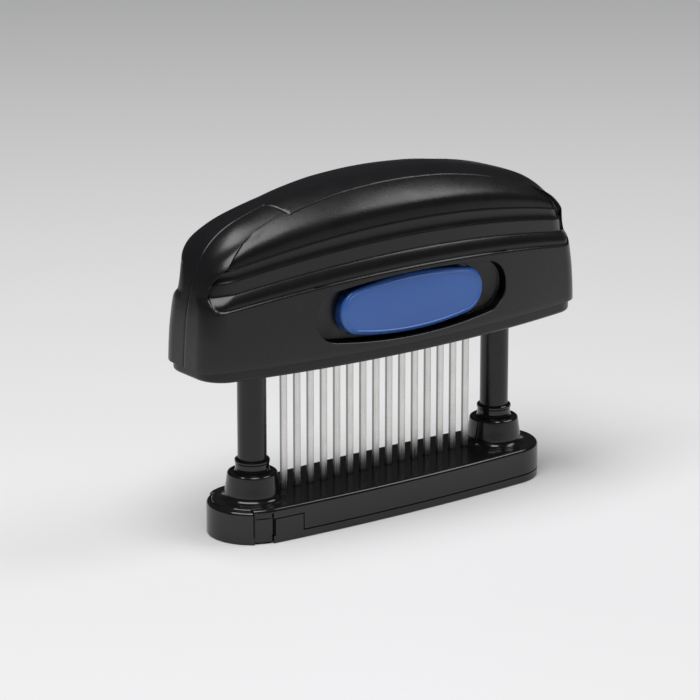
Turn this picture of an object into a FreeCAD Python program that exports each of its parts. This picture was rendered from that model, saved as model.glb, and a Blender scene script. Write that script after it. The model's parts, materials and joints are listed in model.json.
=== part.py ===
import FreeCAD, Part
import math
import os
import Sketcher
from FreeCAD import Placement, Rotation, Vector

# Blade meat tenderizer: a handle with fifteen fixed blades that slides down
# two sprung columns through a slotted base.
# Frame: millimetres, +Z up, origin on the resting surface under the middle of
# the foot plate. +X runs along the tool, +Y points to the rear, the blue
# button faces -Y.

doc = FreeCAD.newDocument("blade_meat_tenderizer")

# ----------------------------------------------------------------------------
# driving dimensions
# ----------------------------------------------------------------------------
DIMENSIONS = [
    # base outline and levels
    ("end_radius", 14.03), ("column_x", 46.65), ("base_half_depth", 15.7),
    ("foot_top", 2.4), ("base_bottom", 2.5), ("base_top", 11.0), ("base_edge_radius", 1.1),
    ("boss_top", 19.3), ("boss_top_radius", 7.63), ("boss_foot_radius", 8.5), ("boss_flare_radius", 10.6),
    ("cap_inner_radius", 12.8), ("cap_top", 10.25), ("cap_edge_x", 54.5), ("cap_edge", 1.1), ("foot_edge", 0.45),
    ("base_foot_edge", 0.3),
    ("lug_left", 47.9), ("lug_right", 38.1), ("lug_top", 7.6), ("lug_inner", 13.05), ("lug_outer", 14.55),
    ("slot_length", 2.9), ("slot_width", 1.5), ("pitch", 5.0), ("blade_span", 70.0),
    # clips
    ("clip_angle", 110.2), ("clip_width", 5.5), ("clip_outer", 13.3), ("clip_inner", 11.5),
    ("clip_bottom", 0.6), ("clip_top", 9.4), ("clip_pocket_width", 6.0), ("clip_pocket_floor", 10.2),
    ("clip_pocket_top", 9.7),
    # columns and collars
    ("column_radius", 4.44), ("column_bore", 3.45), ("column_foot", 7.0), ("column_floor", 14.0),
    ("column_pilot", 1.3), ("column_neck_top", 61.5), ("column_top", 62.6), ("column_head_radius", 5.7),
    ("collar_top", 23.23), ("collar_radius", 5.4), ("collar_bore", 4.47),
    ("screw_head_radius", 2.9), ("screw_shank_radius", 1.25), ("screw_hole_radius", 1.6),
    # handle
    ("handle_bottom", 53.0), ("frame_top", 56.2), ("frame_half_length", 69.8), ("frame_half_depth", 19.8),
    ("frame_edge", 0.95), ("shell_half_length", 71.2), ("shell_half_depth", 19.95), ("crown_height", 106.6), ("wall", 2.3),
    ("seam_step_x", 38.5), ("seam_step_y", 10.3),
    ("bush_bore", 4.50), ("bush_radius", 6.4), ("bush_bottom", 53.6), ("bush_flange_top", 55.0),
    ("bush_flange_radius", 7.6), ("bush_groove_radius", 5.35), ("bush_groove_bottom", 58.8),
    ("bush_groove_top", 60.7), ("bush_top", 61.4), ("tower_top", 58.6), ("tower_radius", 8.3),
    ("seat_radius", 4.3), ("seat_bottom", 92.6), ("seat_top", 94.4), ("peg_radius", 1.6), ("peg_bottom", 83.0),
    # blades and carrier
    ("blade_width", 2.2), ("blade_thickness", 0.8), ("blade_tip", 4.6), ("blade_bevel", 4.2), ("blade_top", 72.4),
    ("blade_head_width", 4.0), ("blade_head_bottom", 70.4),
    ("carrier_half_length", 38.0), ("carrier_half_depth", 4.5), ("carrier_bottom", 60.5), ("carrier_top", 79.5),
    # release
    ("recess_half_length", 36.0), ("recess_half_height", 10.0), ("recess_centre", 68.3), ("recess_floor", 15.6),
    ("pill_half_length", 26.9), ("pill_half_height", 9.25), ("pill_centre", 68.5), ("pill_face", 18.7),
    ("pill_x", 0.8), ("pill_gap", 0.3), ("lock_bottom", 59.0), ("lock_thickness", 1.5), ("lock_hold_radius", 5.65),
    ("lock_release_radius", 6.75), ("button_travel", 1.8),
    # springs
    ("spring_radius", 2.5), ("spring_wire", 0.7), ("spring_turns", 20.0),
    ("shell_screw_x", 34.0), ("shell_screw_z", 74.4), ("end_screw_x", 61.0), ("end_screw_z", 66.0),
    ("frame_screw_x", 26.0), ("frame_screw_y", 13.4),
]
sheet = doc.addObject("Spreadsheet::Sheet", "Dimensions")
for row, (alias, number) in enumerate(DIMENSIONS, start=1):
    sheet.set("A%d" % row, alias)
    sheet.set("B%d" % row, str(number))
    sheet.setAlias("B%d" % row, alias)
doc.recompute()


class Dim:
    """A number together with the expression that makes it from the sheet."""

    def __init__(self, v, t):
        self.v, self.t = float(v), t

    @staticmethod
    def of(other):
        return other if isinstance(other, Dim) else Dim(other, repr(float(other)))

    def __add__(self, o):
        o = Dim.of(o)
        return Dim(self.v + o.v, "(%s + %s)" % (self.t, o.t))

    def __sub__(self, o):
        o = Dim.of(o)
        return Dim(self.v - o.v, "(%s - %s)" % (self.t, o.t))

    def __mul__(self, o):
        o = Dim.of(o)
        return Dim(self.v * o.v, "(%s * %s)" % (self.t, o.t))

    def __truediv__(self, o):
        o = Dim.of(o)
        return Dim(self.v / o.v, "(%s / %s)" % (self.t, o.t))

    def __neg__(self):
        return Dim(-self.v, "(-1 * %s)" % self.t)

    def __radd__(self, o):
        return Dim.of(o) + self

    def __rsub__(self, o):
        return Dim.of(o) - self

    def root(self):
        return Dim(math.sqrt(self.v), "sqrt(%s)" % self.t)


D = {alias: Dim(getattr(sheet, alias), "Dimensions." + alias) for alias, _ in DIMENSIONS}
V = {alias: D[alias].v for alias in D}
N = Dim.of
parts = []


def bind(obj, prop, dim):
    dim = Dim.of(dim)
    obj.setExpression(prop, dim.t)


def keep(obj, label):
    obj.Label = label
    parts.append(obj)
    return obj


# ----------------------------------------------------------------------------
# sketch and body helpers
# ----------------------------------------------------------------------------
def new_body(name):
    return doc.addObject("PartDesign::Body", name)


def origin_feature(body, role):
    for f in body.Origin.OriginFeatures:
        if f.Role == role:
            return f
    raise ValueError(role)


def sketch_on(body, name, role="XY_Plane", offset=None):
    sk = body.newObject("Sketcher::SketchObject", name)
    sk.AttachmentSupport = [(origin_feature(body, role), "")]
    sk.MapMode = "FlatFace"
    if offset is not None:
        offset = Dim.of(offset)
        sk.AttachmentOffset = Placement(Vector(0, 0, offset.v), Rotation())
        sk.setExpression("AttachmentOffset.Base.z", offset.t)
    return sk


def name_constraint(sk, index, text):
    label = "dim%d" % index
    sk.renameConstraint(index, label)
    sk.setExpression("Constraints." + label, text)


def pin(sk, geo, pos, x, y):
    """Fixes one point of a sketch at (x, y), both read from the sheet."""
    for d, axis, kind in ((Dim.of(x), -2, "DistanceX"), (Dim.of(y), -1, "DistanceY")):
        if abs(d.v) < 1e-9:
            sk.addConstraint(Sketcher.Constraint("PointOnObject", geo, pos, axis))
        elif d.v > 0:
            name_constraint(sk, sk.addConstraint(Sketcher.Constraint(kind, -1, 1, geo, pos, d.v)), d.t)
        else:
            name_constraint(
                sk, sk.addConstraint(Sketcher.Constraint(kind, geo, pos, -1, 1, -d.v)), "(-1 * %s)" % d.t
            )


def polygon(sk, points):
    points = [(Dim.of(x), Dim.of(y)) for x, y in points]
    first = None
    ids = []
    n = len(points)
    for i in range(n):
        a, b = points[i], points[(i + 1) % n]
        ids.append(sk.addGeometry(Part.LineSegment(Vector(a[0].v, a[1].v, 0), Vector(b[0].v, b[1].v, 0)), False))
    for i in range(n):
        sk.addConstraint(Sketcher.Constraint("Coincident", ids[i], 2, ids[(i + 1) % n], 1))
    for i in range(n):
        pin(sk, ids[i], 1, points[i][0], points[i][1])
    return ids


def rectangle(sk, x0, y0, x1, y1):
    return polygon(sk, [(x0, y0), (x1, y0), (x1, y1), (x0, y1)])


def circle(sk, x, y, r):
    x, y, r = Dim.of(x), Dim.of(y), Dim.of(r)
    g = sk.addGeometry(Part.Circle(Vector(x.v, y.v, 0), Vector(0, 0, 1), r.v), False)
    pin(sk, g, 3, x, y)
    name_constraint(sk, sk.addConstraint(Sketcher.Constraint("Radius", g, r.v)), r.t)
    return g


def pad(body, name, sk, length, reverse=False):
    f = body.newObject("PartDesign::Pad", name)
    f.Profile = sk
    f.Length = Dim.of(length).v
    bind(f, "Length", length)
    f.Reversed = reverse
    return f


def pocket(body, name, sk, length, reverse=False):
    f = body.newObject("PartDesign::Pocket", name)
    f.Profile = sk
    f.Length = Dim.of(length).v
    bind(f, "Length", length)
    f.Reversed = reverse
    return f


def revolve(body, name, sk, kind="PartDesign::Revolution"):
    f = body.newObject(kind, name)
    f.Profile = sk
    f.ReferenceAxis = (sk, ["V_Axis"])
    f.Angle = 360.0
    return f


def fifteen(body, name, feature):
    """Repeats a feature at the blade pitch, from the left blade to the right."""
    f = body.newObject("PartDesign::LinearPattern", name)
    f.Originals = [feature]
    f.Direction = (origin_feature(body, "X_Axis"), [""])
    f.Length = V["blade_span"]
    bind(f, "Length", D["blade_span"])
    f.Occurrences = 15
    body.Tip = f
    return f


def turned(name, label, points, x=None, y=None):
    """A body of revolution about a vertical axis at (x, y)."""
    body = new_body(name)
    sk = sketch_on(body, name + "_profile", "XZ_Plane")
    polygon(sk, points)
    revolve(body, name + "_turn", sk)
    if x is not None:
        bind(body, "Placement.Base.x", x)
    if y is not None:
        bind(body, "Placement.Base.y", y)
    if label:
        keep(body, label)
    return body


# ----------------------------------------------------------------------------
# outlines made of tangent arcs: long bowed sides, rounded corners, flat ends
# ----------------------------------------------------------------------------
def outline_numbers(A, B, rc, Rs):
    """Corner centre and tangent points of a bowed rounded rectangle."""
    cx = A - rc
    cy = B - Rs + math.sqrt((Rs - rc) ** 2 - cx**2)
    k = Rs / (Rs - rc)
    tx = cx * k
    ty = (B - Rs) + (cy - (B - Rs)) * k
    return cx, cy, tx, ty


def outline_wire(A, B, rc, Rs, place):
    """Closed wire of arcs; place maps the flat (u, v) to a point in space."""
    cx, cy, tx, ty = outline_numbers(A, B, rc, Rs)
    if cy < 0:
        raise ValueError("corner radius too large for the outline")
    edges = []

    def arc(p, q, r):
        edges.append(Part.Arc(place(*p), place(*q), place(*r)).toShape())

    ang = 0.5 * math.atan2(ty - cy, tx - cx)
    mid = (cx + rc * math.cos(ang), cy + rc * math.sin(ang))
    arc((A, cy), mid, (tx, ty))
    arc((tx, ty), (0, B), (-tx, ty))
    arc((-tx, ty), (-mid[0], mid[1]), (-A, cy))
    if cy > 1e-6:
        edges.append(Part.LineSegment(place(-A, cy), place(-A, -cy)).toShape())
    arc((-A, -cy), (-mid[0], -mid[1]), (-tx, -ty))
    arc((-tx, -ty), (0, -B), (tx, -ty))
    arc((tx, -ty), (mid[0], -mid[1]), (A, -cy))
    if cy > 1e-6:
        edges.append(Part.LineSegment(place(A, -cy), place(A, cy)).toShape())
    return Part.Wire(edges)


SIDE_RADIUS = 320.0


def plate(A, B, rc, z0, z1, Rs=SIDE_RADIUS):
    w = outline_wire(A, B, rc, Rs, lambda u, v: Vector(u, v, z0))
    return Part.Face(w).extrude(Vector(0, 0, z1 - z0))


def oval(A, B, rc, Rs, zc, y0, y1, xc=0.0):
    """Oval prism on the front face, from depth y0 to y1."""
    w = outline_wire(A, B, rc, Rs, lambda u, v: Vector(xc + u, y0, zc + v))
    return Part.Face(w).extrude(Vector(0, y1 - y0, 0))


def tube(r_out, r_in, z0, z1, x=0.0, y=0.0):
    s = Part.makeCylinder(r_out, z1 - z0, Vector(x, y, z0))
    if r_in:
        s = s.cut(Part.makeCylinder(r_in, z1 - z0 + 2, Vector(x, y, z0 - 1)))
    return s


def rod_y(r, y0, y1, x, z):
    lo, hi = min(y0, y1), max(y0, y1)
    return Part.makeCylinder(r, hi - lo, Vector(x, lo, z), Vector(0, 1, 0))


def box(x0, x1, y0, y1, z0, z1):
    return Part.makeBox(x1 - x0, y1 - y0, z1 - z0, Vector(x0, y0, z0))


def feature(name, shape, label=None):
    f = doc.addObject("Part::Feature", name)
    f.Shape = shape
    if label:
        keep(f, label)
    return f


# ----------------------------------------------------------------------------
# base outline sketch shared by the foot plate and the base body
# ----------------------------------------------------------------------------
def base_outline(sk, inset=0.0):
    """Two end arcs about the column axes joined by slightly bowed sides."""
    r = D["end_radius"] - inset
    b = D["base_half_depth"] - inset
    x = D["column_x"]
    big = (x * x + b * b - r * r) / ((b - r) * 2)
    k = big / (big - r)
    tx = x * k
    ty = (big - b) * (k - 1)
    pts = {
        "rt": (tx.v, ty.v), "lt": (-tx.v, ty.v), "lb": (-tx.v, -ty.v), "rb": (tx.v, -ty.v),
    }
    v = lambda p: Vector(p[0], p[1], 0)
    top = sk.addGeometry(Part.Arc(v(pts["rt"]), Vector(0, b.v, 0), v(pts["lt"])), False)
    left = sk.addGeometry(Part.Arc(v(pts["lt"]), Vector(-x.v - r.v, 0, 0), v(pts["lb"])), False)
    bottom = sk.addGeometry(Part.Arc(v(pts["lb"]), Vector(0, -b.v, 0), v(pts["rb"])), False)
    right = sk.addGeometry(Part.Arc(v(pts["rb"]), Vector(x.v + r.v, 0, 0), v(pts["rt"])), False)
    ids = [top, left, bottom, right]
    for i in range(4):
        sk.addConstraint(Sketcher.Constraint("Coincident", ids[i], 2, ids[(i + 1) % 4], 1))
    pin(sk, top, 1, tx, ty)
    pin(sk, left, 1, -tx, ty)
    pin(sk, bottom, 1, -tx, -ty)
    pin(sk, right, 1, tx, -ty)
    name_constraint(sk, sk.addConstraint(Sketcher.Constraint("Radius", left, r.v)), r.t)
    name_constraint(sk, sk.addConstraint(Sketcher.Constraint("Radius", right, r.v)), r.t)
    name_constraint(sk, sk.addConstraint(Sketcher.Constraint("Radius", top, big.v)), big.t)
    name_constraint(sk, sk.addConstraint(Sketcher.Constraint("Radius", bottom, big.v)), big.t)


def clip_frame(side):
    """Direction that points outward through a clip, and the one along it."""
    a = math.radians(V["clip_angle"]) * side
    out = Vector(math.cos(a), math.sin(a), 0)
    along = Vector(-out.y, out.x, 0)
    return out, along


def clip_block(side, r0, r1, width, z0, z1):
    """A block across the rounded end at the clip's angle (side -1 front, +1 rear)."""
    out, along = clip_frame(side)
    c = Vector(-V["column_x"], 0, 0)
    p = [
        c + out * r0 - along * (width / 2), c + out * r1 - along * (width / 2),
        c + out * r1 + along * (width / 2), c + out * r0 + along * (width / 2),
    ]
    p = [Vector(q.x, q.y, z0) for q in p]
    face = Part.Face(Part.makePolygon(p + [p[0]]))
    return face.extrude(Vector(0, 0, z1 - z0))


def round_edges(shape, z):
    """Edges of the outer outline that lie at one height."""
    out = []
    for e in shape.Edges:
        b = e.BoundBox
        if abs(b.ZMin - z) < 1e-5 and abs(b.ZMax - z) < 1e-5 and hasattr(e.Curve, "Radius"):
            if e.Curve.Radius > V["end_radius"] - 0.05:
                out.append(e)
    if not out:
        raise RuntimeError("no outline edge at height %s" % z)
    return out


# ----------------------------------------------------------------------------
# foot plate
# ----------------------------------------------------------------------------
def make_foot():
    body = new_body("FootPlate")
    sk = sketch_on(body, "foot_outline")
    base_outline(sk)
    pad(body, "foot_pad", sk, D["foot_top"])
    sk = sketch_on(body, "foot_slot", offset=D["foot_top"])
    half = D["slot_length"] / 2
    x0 = -(D["blade_span"] / 2)
    rectangle(sk, x0 - half, -(D["slot_width"] / 2), x0 + half, D["slot_width"] / 2)
    p = pocket(body, "foot_slot_cut", sk, D["foot_top"])
    fifteen(body, "foot_slots", p)
    doc.recompute()

    # end cap: a thin wall round the left end, standing above the base top
    cap = doc.addObject("Part::Cylinder", "cap_outer")
    bind(cap, "Radius", D["end_radius"])
    bind(cap, "Height", D["cap_top"])
    bind(cap, "Placement.Base.x", -D["column_x"])
    hollow = doc.addObject("Part::Cylinder", "cap_hollow")
    bind(hollow, "Radius", D["cap_inner_radius"])
    bind(hollow, "Height", D["cap_top"] * 2)
    bind(hollow, "Placement.Base.x", -D["column_x"])
    ring = doc.addObject("Part::Cut", "cap_ring")
    ring.Base, ring.Tool = cap, hollow
    window = doc.addObject("Part::Box", "cap_extent")
    bind(window, "Length", N(20.0))
    bind(window, "Width", N(40.0))
    bind(window, "Height", D["cap_top"] * 2)
    bind(window, "Placement.Base.x", -(D["cap_edge_x"] + 20.0))
    bind(window, "Placement.Base.y", N(-20.0))
    wall = doc.addObject("Part::Common", "cap_wall")
    wall.Base, wall.Tool = ring, window
    doc.recompute()

    # side lugs that stand up beside the base at the front and the rear
    lugs = []
    for side, name in ((-1, "front_lug"), (1, "rear_lug")):
        b = doc.addObject("Part::Box", name)
        bind(b, "Length", D["lug_left"] - D["lug_right"])
        bind(b, "Width", D["lug_outer"] - D["lug_inner"] + 0.6)
        bind(b, "Height", D["lug_top"])
        bind(b, "Placement.Base.x", -D["lug_left"])
        bind(b, "Placement.Base.y", -(D["lug_outer"] + 0.6) if side < 0 else D["lug_inner"])
        lugs.append(b)
    outline = new_body("LugTrim")
    sk = sketch_on(outline, "lug_trim_outline")
    base_outline(sk)
    pad(outline, "lug_trim_pad", sk, D["cap_top"] * 2)
    doc.recompute()
    pieces = [body, wall]
    for b in lugs:
        t = doc.addObject("Part::Common", b.Name + "_trimmed")
        t.Base, t.Tool = b, outline
        pieces.append(t)
    fused = doc.addObject("Part::MultiFuse", "foot_fused")
    fused.Shapes = pieces
    doc.recompute()

    # notches that let the clips reach down through the plate's edge
    notch = feature(
        "foot_notches",
        clip_block(-1, V["clip_pocket_floor"] + 0.1, 20.0, V["clip_pocket_width"], -1.0, 20.0).fuse(
            clip_block(1, V["clip_pocket_floor"] + 0.1, 20.0, V["clip_pocket_width"], -1.0, 20.0)
        ),
    )
    cut = doc.addObject("Part::Cut", "foot_cut")
    cut.Base, cut.Tool = fused, notch
    doc.recompute()
    shape = cut.Shape
    shape = shape.makeFillet(V["cap_edge"], round_edges(shape, V["cap_top"]))
    shape = shape.makeFillet(V["foot_edge"], round_edges(shape, 0.0))
    feature("foot_body", shape, "foot_plate")


# ----------------------------------------------------------------------------
# base body
# ----------------------------------------------------------------------------
def make_base():
    body = new_body("BaseBody")
    sk = sketch_on(body, "base_outline", offset=D["base_bottom"])
    base_outline(sk)
    height = D["base_top"] - D["base_bottom"]
    pad(body, "base_pad", sk, height)
    doc.recompute()
    # rounded upper rim
    tip = body.Tip
    rim = [
        "Edge%d" % (i + 1) for i, e in enumerate(tip.Shape.Edges)
        if abs(e.BoundBox.ZMin - V["base_top"]) < 1e-4 and abs(e.BoundBox.ZMax - V["base_top"]) < 1e-4
    ]
    f = body.newObject("PartDesign::Fillet", "base_rim")
    f.Base = (tip, rim)
    f.Radius = V["base_edge_radius"]
    bind(f, "Radius", D["base_edge_radius"])
    doc.recompute()
    # small bevel that leaves a groove above the foot plate
    tip = body.Tip
    foot = [
        "Edge%d" % (i + 1) for i, e in enumerate(tip.Shape.Edges)
        if abs(e.BoundBox.ZMin - V["base_bottom"]) < 1e-4 and abs(e.BoundBox.ZMax - V["base_bottom"]) < 1e-4
    ]
    f = body.newObject("PartDesign::Chamfer", "base_foot")
    f.Base = (tip, foot)
    f.Size = V["base_foot_edge"]
    bind(f, "Size", D["base_foot_edge"])
    doc.recompute()
    slot = sketch_on(body, "base_slot", offset=D["base_top"])
    half = D["slot_length"] / 2
    x0 = -(D["blade_span"] / 2)
    rectangle(slot, x0 - half, -(D["slot_width"] / 2), x0 + half, D["slot_width"] / 2)
    p = pocket(body, "base_slot_cut", slot, height)
    fifteen(body, "base_slots", p)
    doc.recompute()

    # column bosses: turned, with a flared foot
    bosses = []
    for side, name in ((-1, "BossLeft"), (1, "BossRight")):
        b = new_body(name)
        sk = sketch_on(b, name + "_profile", "XZ_Plane")
        z0, z1 = D["base_bottom"] + 1.0, D["boss_top"]
        polygon(sk, [
            (N(0), z0), (D["boss_flare_radius"], z0), (D["boss_flare_radius"], D["base_top"] - 0.02),
        ] + [
            # hollow fillet at the foot
            (D["boss_flare_radius"] - 2.1 * math.sin(math.radians(a)), D["base_top"] + 2.1 * (1 - math.cos(math.radians(a))) + 0.02)
            for a in (6, 18, 30, 42, 54, 66, 78, 90)
        ] + [
            # rounded upper edge, then a groove round the collar
            (D["boss_top_radius"] - 0.8 + 0.9 * math.cos(math.radians(a)), z1 - 0.9 + 0.9 * math.sin(math.radians(a)))
            for a in (0, 18, 36, 54, 72, 90)
        ] + [
            (D["boss_top_radius"] - 1.05, z1), (D["boss_top_radius"] - 1.25, z1 - 0.35), (D["boss_top_radius"] - 1.8, z1 - 0.35),
            (D["boss_top_radius"] - 2.0, z1), (N(0), z1),
        ])
        revolve(b, name + "_turn", sk)
        bind(b, "Placement.Base.x", D["column_x"] * side)
        bosses.append(b)
    fused = doc.addObject("Part::MultiFuse", "base_fused")
    fused.Shapes = [body] + bosses
    doc.recompute()

    # everything that is taken out of the base
    cuts = []
    cx = V["column_x"]
    for side in (-1, 1):
        x = side * cx
        cuts.append(tube(V["column_radius"] + 0.02, 0, V["column_foot"], 30.0, x))
        cuts.append(tube(V["screw_hole_radius"], 0, 0.0, V["column_foot"] + 1, x))
        cuts.append(tube(V["screw_head_radius"] + 0.3, 0, 0.0, 4.65, x))
        cuts.append(clip_block(side, V["clip_pocket_floor"], 20.0, V["clip_pocket_width"], 0.0, V["clip_pocket_top"]))
        y0, y1 = (-20.0, -(V["lug_inner"] - 0.12)) if side < 0 else (V["lug_inner"] - 0.12, 20.0)
        cuts.append(box(-V["lug_left"] - 0.8, -V["lug_right"] + 0.35, y0, y1, 0.0, V["lug_top"] + 0.35))
        # the end slots also cut the flare of the boss beside them
        bx = side * V["blade_span"] / 2
        hl, hw = V["slot_length"] / 2, V["slot_width"] / 2
        cuts.append(box(bx - hl, bx + hl, -hw, hw, 0.0, V["base_top"] + 3))
    ring = tube(V["end_radius"] + 4, V["cap_inner_radius"] - 0.25, 0.0, 30.0, -cx)
    beyond_cap = box(-80, -V["cap_edge_x"] + 0.25, -20, 20, 0, 30)
    cuts.append(ring.common(beyond_cap))
    # rounded top edge inside the cap
    edge, r0, z0 = 0.8, V["cap_inner_radius"] - 0.25, V["base_top"]
    profile = [(r0 + 1.0, z0 - edge), (r0, z0 - edge)]
    for k in range(1, 7):
        a = math.radians(15 * k)
        profile.append((r0 - edge + edge * math.cos(a), z0 - edge + edge * math.sin(a)))
    profile += [(r0 - edge, z0 + 1.0), (r0 + 1.0, z0 + 1.0)]
    points = [FreeCAD.Vector(r, 0, z) for r, z in profile]
    face = Part.Face(Part.makePolygon(points + [points[0]]))
    turned_edge = face.revolve(FreeCAD.Vector(0, 0, 0), FreeCAD.Vector(0, 0, 1), 360)
    turned_edge.translate(FreeCAD.Vector(-cx, 0, 0))
    cuts.append(turned_edge.common(beyond_cap))
    # hollow underside between the bosses, either side of the slotted web
    for side in (-1, 1):
        lo, hi = (-12.2, -4.2) if side < 0 else (4.2, 12.2)
        cuts.append(box(-34.5, 36.0, lo, hi, 0.0, 8.6))
    tool = feature("base_cuts", cuts[0].multiFuse(cuts[1:]))
    cut = doc.addObject("Part::Cut", "base_cut")
    cut.Base, cut.Tool = fused, tool
    keep(cut, "base_body")
    doc.recompute()

    # sprung clips beside the cap
    for side, label in ((-1, "clip_front"), (1, "clip_rear")):
        blank = clip_block(side, V["clip_inner"], 16.0, V["clip_width"], V["clip_bottom"], V["clip_top"])
        s = blank.common(tube(V["clip_outer"], 0, 0, 20, -cx))
        # the root that joins the finger to the base's pocket is set back
        groove = clip_block(side, V["clip_outer"] - 0.45, 16.0, V["clip_width"] + 2, V["clip_top"] - 1.6, V["clip_top"] - 1.0)
        s = s.cut(groove)
        feature(label + "_finger", s, label)


# ----------------------------------------------------------------------------
# columns, collars, their screws and the return springs
# ----------------------------------------------------------------------------
def make_columns():
    for side, word in ((-1, "left"), (1, "right")):
        x = D["column_x"] * side
        turned("Column_" + word, "column_" + word, [
            (D["column_pilot"], D["column_foot"]), (D["column_radius"] - 0.5, D["column_foot"]),
            (D["column_radius"], D["column_foot"] + 0.5), (D["column_radius"], D["column_neck_top"]),
            (D["column_head_radius"], D["column_neck_top"]), (D["column_head_radius"], D["column_top"] - 0.4),
            (D["column_head_radius"] - 0.4, D["column_top"]), (D["column_bore"] + 0.4, D["column_top"]),
            (D["column_bore"], D["column_top"] - 0.4), (D["column_bore"], D["column_floor"]),
            (D["column_pilot"], D["column_floor"]),
        ], x)
        turned("Collar_" + word, "collar_" + word, [
            (D["collar_bore"], D["boss_top"]), (D["collar_radius"] + 0.15, D["boss_top"]),
            (D["collar_radius"] + 0.15, D["boss_top"] + 0.25), (D["collar_radius"] - 0.05, D["boss_top"] + 0.65),
            (D["collar_radius"] - 0.2, D["boss_top"] + 1.2), (D["collar_radius"] - 0.22, D["collar_top"] - 1.35),
            (D["collar_radius"] - 0.1, D["collar_top"] - 1.15), (D["collar_radius"], D["collar_top"] - 0.9),
            (D["collar_radius"], D["collar_top"] - 0.45), (D["collar_radius"] - 0.08, D["collar_top"] - 0.2),
            (D["collar_radius"] - 0.25, D["collar_top"] - 0.05), (D["collar_radius"] - 0.45, D["collar_top"]),
            (D["collar_bore"] + 0.15, D["collar_top"]), (D["collar_bore"], D["collar_top"] - 0.15),
        ], x)
    screws = []
    for side in (-1, 1):
        s = Part.makeCone(V["screw_head_radius"] - 0.5, V["screw_head_radius"], 0.5, Vector(0, 0, 2.75))
        s = s.fuse(tube(V["screw_head_radius"], 0, 3.25, 4.65)).fuse(tube(V["screw_shank_radius"], 0, 4.6, 13.2))
        s = s.cut(box(-1.9, 1.9, -0.35, 0.35, 2.0, 3.7)).cut(box(-0.35, 0.35, -1.9, 1.9, 2.0, 3.7))
        s.translate(Vector(side * V["column_x"], 0, 0))
        screws.append(s)
    feature("column_screw_pair", Part.makeCompound(screws), "column_screws")

    for side, word in ((-1, "left"), (1, "right")):
        z0, z1 = V["column_floor"] + 0.4, V["seat_bottom"] - 0.4
        pitch = (z1 - z0) / V["spring_turns"]
        helix = Part.makeHelix(pitch, z1 - z0, V["spring_radius"])
        wire = Part.Wire(helix.Edges)
        profile = Part.Wire([Part.makeCircle(V["spring_wire"] / 2, Vector(V["spring_radius"], 0, 0), Vector(0, 1, 0))])
        s = wire.makePipeShell([profile], True, True)
        if s.ShapeType == "Shell":
            s = Part.Solid(s)
        f = doc.addObject("Part::Feature", "spring_" + word)
        f.Shape = s
        f.Placement = Placement(Vector(side * V["column_x"], 0, z0), Rotation())
        keep(f, "main_spring_" + word)


# ----------------------------------------------------------------------------
# the handle's skins
# ----------------------------------------------------------------------------
QUARTER = (3, 7, 9)  # poles along half an end, a corner and half a side


def quarter_points(A, B, rc, Rs=SIDE_RADIUS):
    cx = A - rc
    cy = B - Rs + math.sqrt((Rs - rc) ** 2 - cx**2)
    while cy < 0.05:
        rc -= 0.1
        cx = A - rc
        cy = B - Rs + math.sqrt((Rs - rc) ** 2 - cx**2)
    cx, cy, tx, ty = outline_numbers(A, B, rc, Rs)
    end = math.atan2(ty - cy, tx - cx)
    n1, n2, n3 = QUARTER
    pts = []
    for i in range(n1):
        pts.append((A, cy * (i + 0.5) / n1))
    for i in range(n2):
        a = end * (i + 0.5) / n2
        pts.append((cx + rc * math.cos(a), cy + rc * math.sin(a)))
    for i in range(n3):
        x = tx * (1 - (i + 0.5) / n3)
        pts.append((x, B - Rs + math.sqrt(Rs**2 - x**2)))
    return pts


def ring_points(A, B, rc, Rs=SIDE_RADIUS):
    q = quarter_points(A, B, rc, Rs)
    ring = list(q)
    ring += [(-x, y) for x, y in reversed(q)]
    ring += [(-x, -y) for x, y in q]
    ring += [(x, -y) for x, y in reversed(q)]
    return ring


def level(zf, ze, x, A):
    """Height along an arched ring: zf at mid length, ze at the ends."""
    return zf + (ze - zf) * min(1.0, (abs(x) / A)) ** 2.0


# height of the crown over mid depth, from the middle to the end, below its peak
CROWN_DROP = [(0.0, 0.0), (16.0, 0.65), (30.0, 2.55), (40.0, 4.75), (48.0, 7.1), (54.0, 9.25), (59.0, 12.05), (63.0, 15.65),
              (65.0, 18.55), (66.3, 21.15)]


def crown_drop(x):
    x = min(abs(x), CROWN_DROP[-1][0])
    for (x0, d0), (x1, d1) in zip(CROWN_DROP, CROWN_DROP[1:]):
        if x <= x1:
            return d0 + (d1 - d0) * (x - x0) / (x1 - x0)
    return CROWN_DROP[-1][1]


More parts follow.
